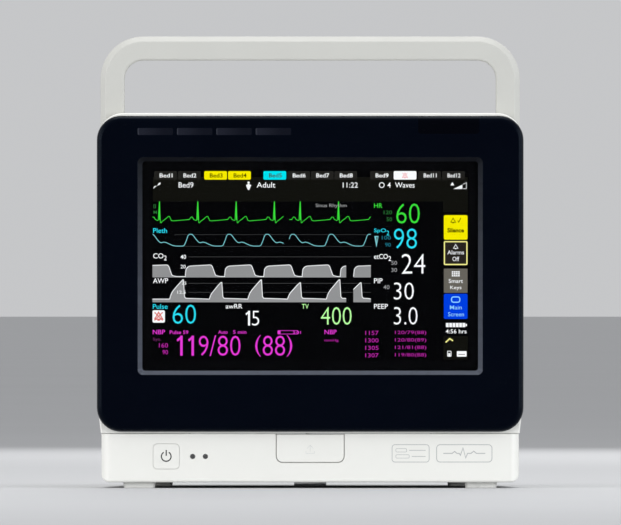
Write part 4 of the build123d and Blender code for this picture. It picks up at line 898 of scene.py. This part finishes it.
def socket_marks(ink):
    """A small symbol above each socket of the side panel."""
    line = 0.45 * MM
    traces = {
        "ecg": [(-4.2, 0), (-1.8, 0), (-0.9, 2.2), (0.4, -2.0), (1.2, 0), (4.2, 0)],
        "spo2": [(-3.6, 1.3), (1.6, 1.3), (2.8, 0.7), (2.8, -0.7), (1.6, -1.3), (-3.6, -1.3)],
        "press": [(-4.0, -1.6), (-2.4, 1.8), (-1.2, 0.2), (0.4, -1.6), (2.0, 1.8), (3.2, 0.2),
                  (4.0, -0.8)],
        "co2": [(-4.0, -1.6), (-2.8, -1.6), (-2.4, 1.4), (0.2, 1.8), (0.6, -1.6), (1.8, -1.6),
                (2.2, 1.4), (4.0, 1.7)],
        "temp": [],
        "nbp": [(2.0, -0.9), (3.2, -0.9), (3.8, -2.2)],
    }
    for name, route in traces.items():
        sheet = side_sheet("connector_panel", name + "_socket", 15.0 * MM)
        if name == "temp":          # bulb and tube of a thermometer
            sheet.ring(-2.4 * MM, 0, 1.2 * MM, line, PRINT)
            sheet.disc(-2.4 * MM, 0, 0.6 * MM, PRINT)
            sheet.frame(-1.2 * MM, 3.8 * MM, -0.7 * MM, 0.7 * MM, 0.6 * MM, line, PRINT)
        if name == "nbp":           # cuff; the trace is its hose
            sheet.frame(-3.4 * MM, 2.0 * MM, -1.7 * MM, 1.7 * MM, 0.8 * MM, line, PRINT)
        sheet.line([(u * MM, v * MM) for u, v in route], line, PRINT)
        sheet.piece(name + "_mark", ink, "panel_grey")


def status_dots(ink):
    """Dark printed rings round the two status lights."""
    sheet = front_sheet("base_tray", 0, centre_of("power_key").z)
    for x in (-72.9, -65.0):
        sheet.ring(x * MM, 0, 1.52 * MM, 0.22 * MM, PRINT, steps=32)
    sheet.piece("status_rings", ink, "white_case")


# -------------------- latch spring
def latch_spring():
    """Coil spring over the latch bolt, drawn at one length; the real one shortens as the bolt lifts."""
    low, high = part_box("latch_spring")
    middle = (low + high) / 2
    wire, turns, steps_per_turn, sides = 0.35 * MM, 4.5, 24, 8
    coil = (high.x - low.x) / 2 - wire
    rise = high.z - low.z - 2 * wire
    steps = int(turns * steps_per_turn)
    points = []
    for step in range(steps + 1):
        turn = 2 * pi * turns * step / steps
        outward = Vector((cos(turn), sin(turn), 0))
        spot = Vector((middle.x, middle.y, low.z + wire + rise * step / steps)) + outward * coil
        for side in range(sides):
            way = 2 * pi * side / sides
            points.append(spot + outward * (wire * cos(way)) + Vector((0, 0, wire * sin(way))))
    faces = [(a + k, a + (k + 1) % sides, a + sides + (k + 1) % sides, a + sides + k)
             for a in range(0, steps * sides, sides) for k in range(sides)]
    faces += [tuple(range(sides)), tuple(reversed(range(steps * sides, (steps + 1) * sides)))]
    spring = mesh_object("latch_coil", points, faces,
                         brushed("spring_wire", rgb(0.45, 0.45, 0.46), 0.25))
    for face in spring.data.polygons:
        face.use_smooth = True
    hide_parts("latch_spring")
    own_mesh(spring)


# -------------------- assigning the materials
def paint(names, material):
    """Gives one material to each named node; names is text with spaces between them."""
    for name in names.split():
        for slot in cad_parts[name].material_slots:
            slot.material = material


def paint_nodes():
    """Gives the CAD nodes their materials."""
    warm_white = rgb(0.785, 0.783, 0.745)
    paint("front_frame rear_housing base_tray battery_door",
          moulded("white_case", warm_white, 0.40))
    paint("power_key release_key", moulded("white_keys", warm_white, 0.36, 0.3 * MM))
    # The handle's paler edges are a painted highlight where its fillets catch the light.
    paint("carry_handle", moulded("handle_grey", rgb(0.505, 0.505, 0.475), 0.46, 0.4 * MM,
                                  0.025 * MM, edge_paling=1.0))
    half_w, half_h = (side / 2 - 0.2 * MM for side in DISPLAY_OPENING)
    trim = ((-half_w, DISPLAY_OPENING_Z - half_h), (half_w, DISPLAY_OPENING_Z + half_h))
    # trim marks the bevel, which gets painted light at its bottom and painted shade at its top.
    paint("front_bezel", bezel_plastic("bezel_navy", rgb(0.0004, 0.0010, 0.0034), 0.3, trim))
    paint("badge_tab", bezel_plastic("badge_navy", rgb(0.0004, 0.0005, 0.0016), 0.2))
    paint("alarm_lens", lamp_lens("lamp_lens"))
    paint("touch_glass", touch_glass("touch_glass"))
    paint("lcd_cell", pixels_off("lcd_cell"))
    paint("lcd_backlight", moulded("reflector_white", rgb(0.8, 0.81, 0.83), 0.5))
    paint("screen_gasket", rubbery("foam_black", rgb(0.012, 0.012, 0.013)))
    paint("rubber_feet", rubbery("foot_rubber", rgb(0.80, 0.80, 0.77)))
    paint("status_lights", moulded("status_smoke", rgb(0.045, 0.045, 0.047), 0.2, coat=0.5))
    paint("mount_plate", brushed("mount_aluminium", rgb(0.62, 0.63, 0.64), 0.34))
    paint("rating_plate", brushed("plate_aluminium", rgb(0.66, 0.66, 0.65), 0.3, (1, 60, 60)))
    paint("lcd_bracket chassis chassis_posts", cast("zinc_sheet", rgb(0.55, 0.56, 0.57)))
    paint("power_supply measurement_module io_plate",
          brushed("plated_sheet", rgb(0.58, 0.59, 0.6), 0.38))
    paint("nbp_pump", brushed("pump_can", rgb(0.5, 0.5, 0.52), 0.3, (30, 30, 1)))
    paint("handle_screws bezel_screws rear_screws base_screws door_pins",
          cast("screw_steel", rgb(0.46, 0.47, 0.48), 0.3))
    paint("latch_bolt", brushed("bolt_steel", rgb(0.5, 0.5, 0.51), 0.28, (40, 40, 1)))
    paint("mains_pins equipotential_stud network_jack usb_ports call_jack board_standoffs",
          cast("nickel", rgb(0.62, 0.60, 0.55), 0.24))
    paint("socket_pins", cast("gold", rgb(0.85, 0.62, 0.22), 0.22))
    paint("heat_sink", brushed("black_anodised", rgb(0.05, 0.05, 0.055), 0.45, (40, 1, 1)))
    paint("alarm_board key_board main_board", circuit_board("circuit_board"))
    paint("connector_panel", moulded("panel_grey", rgb(0.13, 0.14, 0.155), 0.5, 0.5 * MM,
                                     0.04 * MM, edge_paling=0.2))
    paint("mains_inlet link_port power_switch latch_guide battery_pack battery_cradle loudspeaker",
          moulded("black_moulding", rgb(0.012, 0.012, 0.013), 0.4, edge_paling=0.2))
    paint("battery_contacts", moulded("contact_block", rgb(0.7, 0.66, 0.55), 0.5))
    paint("nbp_valve", moulded("valve_moulding", rgb(0.66, 0.63, 0.55), 0.5))
    paint("display_cable", moulded("polyimide", rgb(0.5, 0.2, 0.03), 0.3, 2 * MM))
    sockets = {"ecg_socket": rgb(0.02, 0.22, 0.085), "spo2_socket": rgb(0.02, 0.09, 0.30),
               "press_socket": rgb(0.32, 0.015, 0.02), "temp_socket": rgb(0.12, 0.05, 0.022),
               "nbp_socket": rgb(0.075, 0.08, 0.085), "co2_socket": rgb(0.42, 0.25, 0.02)}
    for name, colour in sockets.items():
        paint(name, moulded(name + "_colour", colour, 0.36, edge_paling=0.35))


# -------------------- stage
def make_stage():
    """Plain pale floor that reaches far past the object on all sides."""
    shade = Shade("stage_paper")
    cloud = shade.noise(0.5, detail=3)
    paper = shade.surface(Base_Color=shade.mix(cloud, rgb(0.55, 0.555, 0.565), rgb(0.58, 0.585, 0.595)),
                          Roughness=0.9, Specular_IOR_Level=0.1)
    half = 60.0
    mesh = bpy.data.meshes.new("stage_floor")
    mesh.from_pydata([(-half, -half, 0), (half, -half, 0), (half, half, 0), (-half, half, 0)], [],
                     [(0, 1, 2, 3)])
    mesh.materials.append(paper)
    floor = in_scene("stage_floor", mesh)


def area_light(name, place, size, power, colour=(1, 1, 1)):
    """Rectangular light that points at the object's middle."""
    middle = Vector((0, 0, 0.14))
    light = bpy.data.lights.new(name, "AREA")
    light.shape = "RECTANGLE"
    light.size, light.size_y = size
    light.energy = power
    light.color = colour
    lamp = in_scene(name, light)
    lamp.location = place
    lamp.rotation_euler = (middle - Vector(place)).to_track_quat("-Z", "Y").to_euler()


def make_lights():
    area_light("front_left", (-1.8, -2.3, 0.42), (1.0, 1.0), 24)
    area_light("front_right", (1.8, -2.3, 0.42), (1.0, 1.0), 26, (0.96, 0.98, 1.0))
    area_light("side_left", (-1.9, -0.7, 0.6), (0.8, 1.1), 9)
    area_light("side_right", (1.9, -0.7, 0.6), (0.8, 1.1), 10, (0.94, 0.97, 1.0))
    area_light("top", (0, -0.2, 1.7), (1.4, 0.8), 12)
    area_light("back", (0.3, 2.2, 1.0), (1.4, 1.0), 13)
    world = bpy.data.worlds.new("studio")
    world.use_nodes = True
    sky = world.node_tree.nodes["Background"]
    sky.inputs["Color"].default_value = rgb(0.97, 0.98, 1.0)
    sky.inputs["Strength"].default_value = 0.58
    bpy.context.scene.world = world


def make_camera():
    """Level view of the front from far off, with the object's middle in the picture's middle."""
    distance, framed_width = 12.0, 385.0 * MM
    data = bpy.data.cameras.new("camera")
    data.sensor_width = 36.0
    data.lens = data.sensor_width * distance / framed_width
    data.clip_end = 50
    camera = in_scene("camera", data)
    camera.location = (0.2 * MM, BEZEL_LOW.y - distance, 140.0 * MM)
    camera.rotation_euler = (pi / 2, 0, 0)
    bpy.context.scene.camera = camera


bpy.context.scene.view_settings.view_transform = "Standard"
make_camera()
make_stage()
make_lights()
paint_nodes()
make_picture()
ink_border()
latch_spring()
dark_ink = printed("dark_print", rgb(0.022, 0.022, 0.024))
power_symbol(dark_ink)
status_dots(dark_ink)
label_boxes(printed("grey_print", rgb(0.42, 0.43, 0.43)))
release_symbol(printed("faint_print", rgb(0.66, 0.67, 0.65)))
socket_marks(printed("pale_print", rgb(0.62, 0.63, 0.63)))
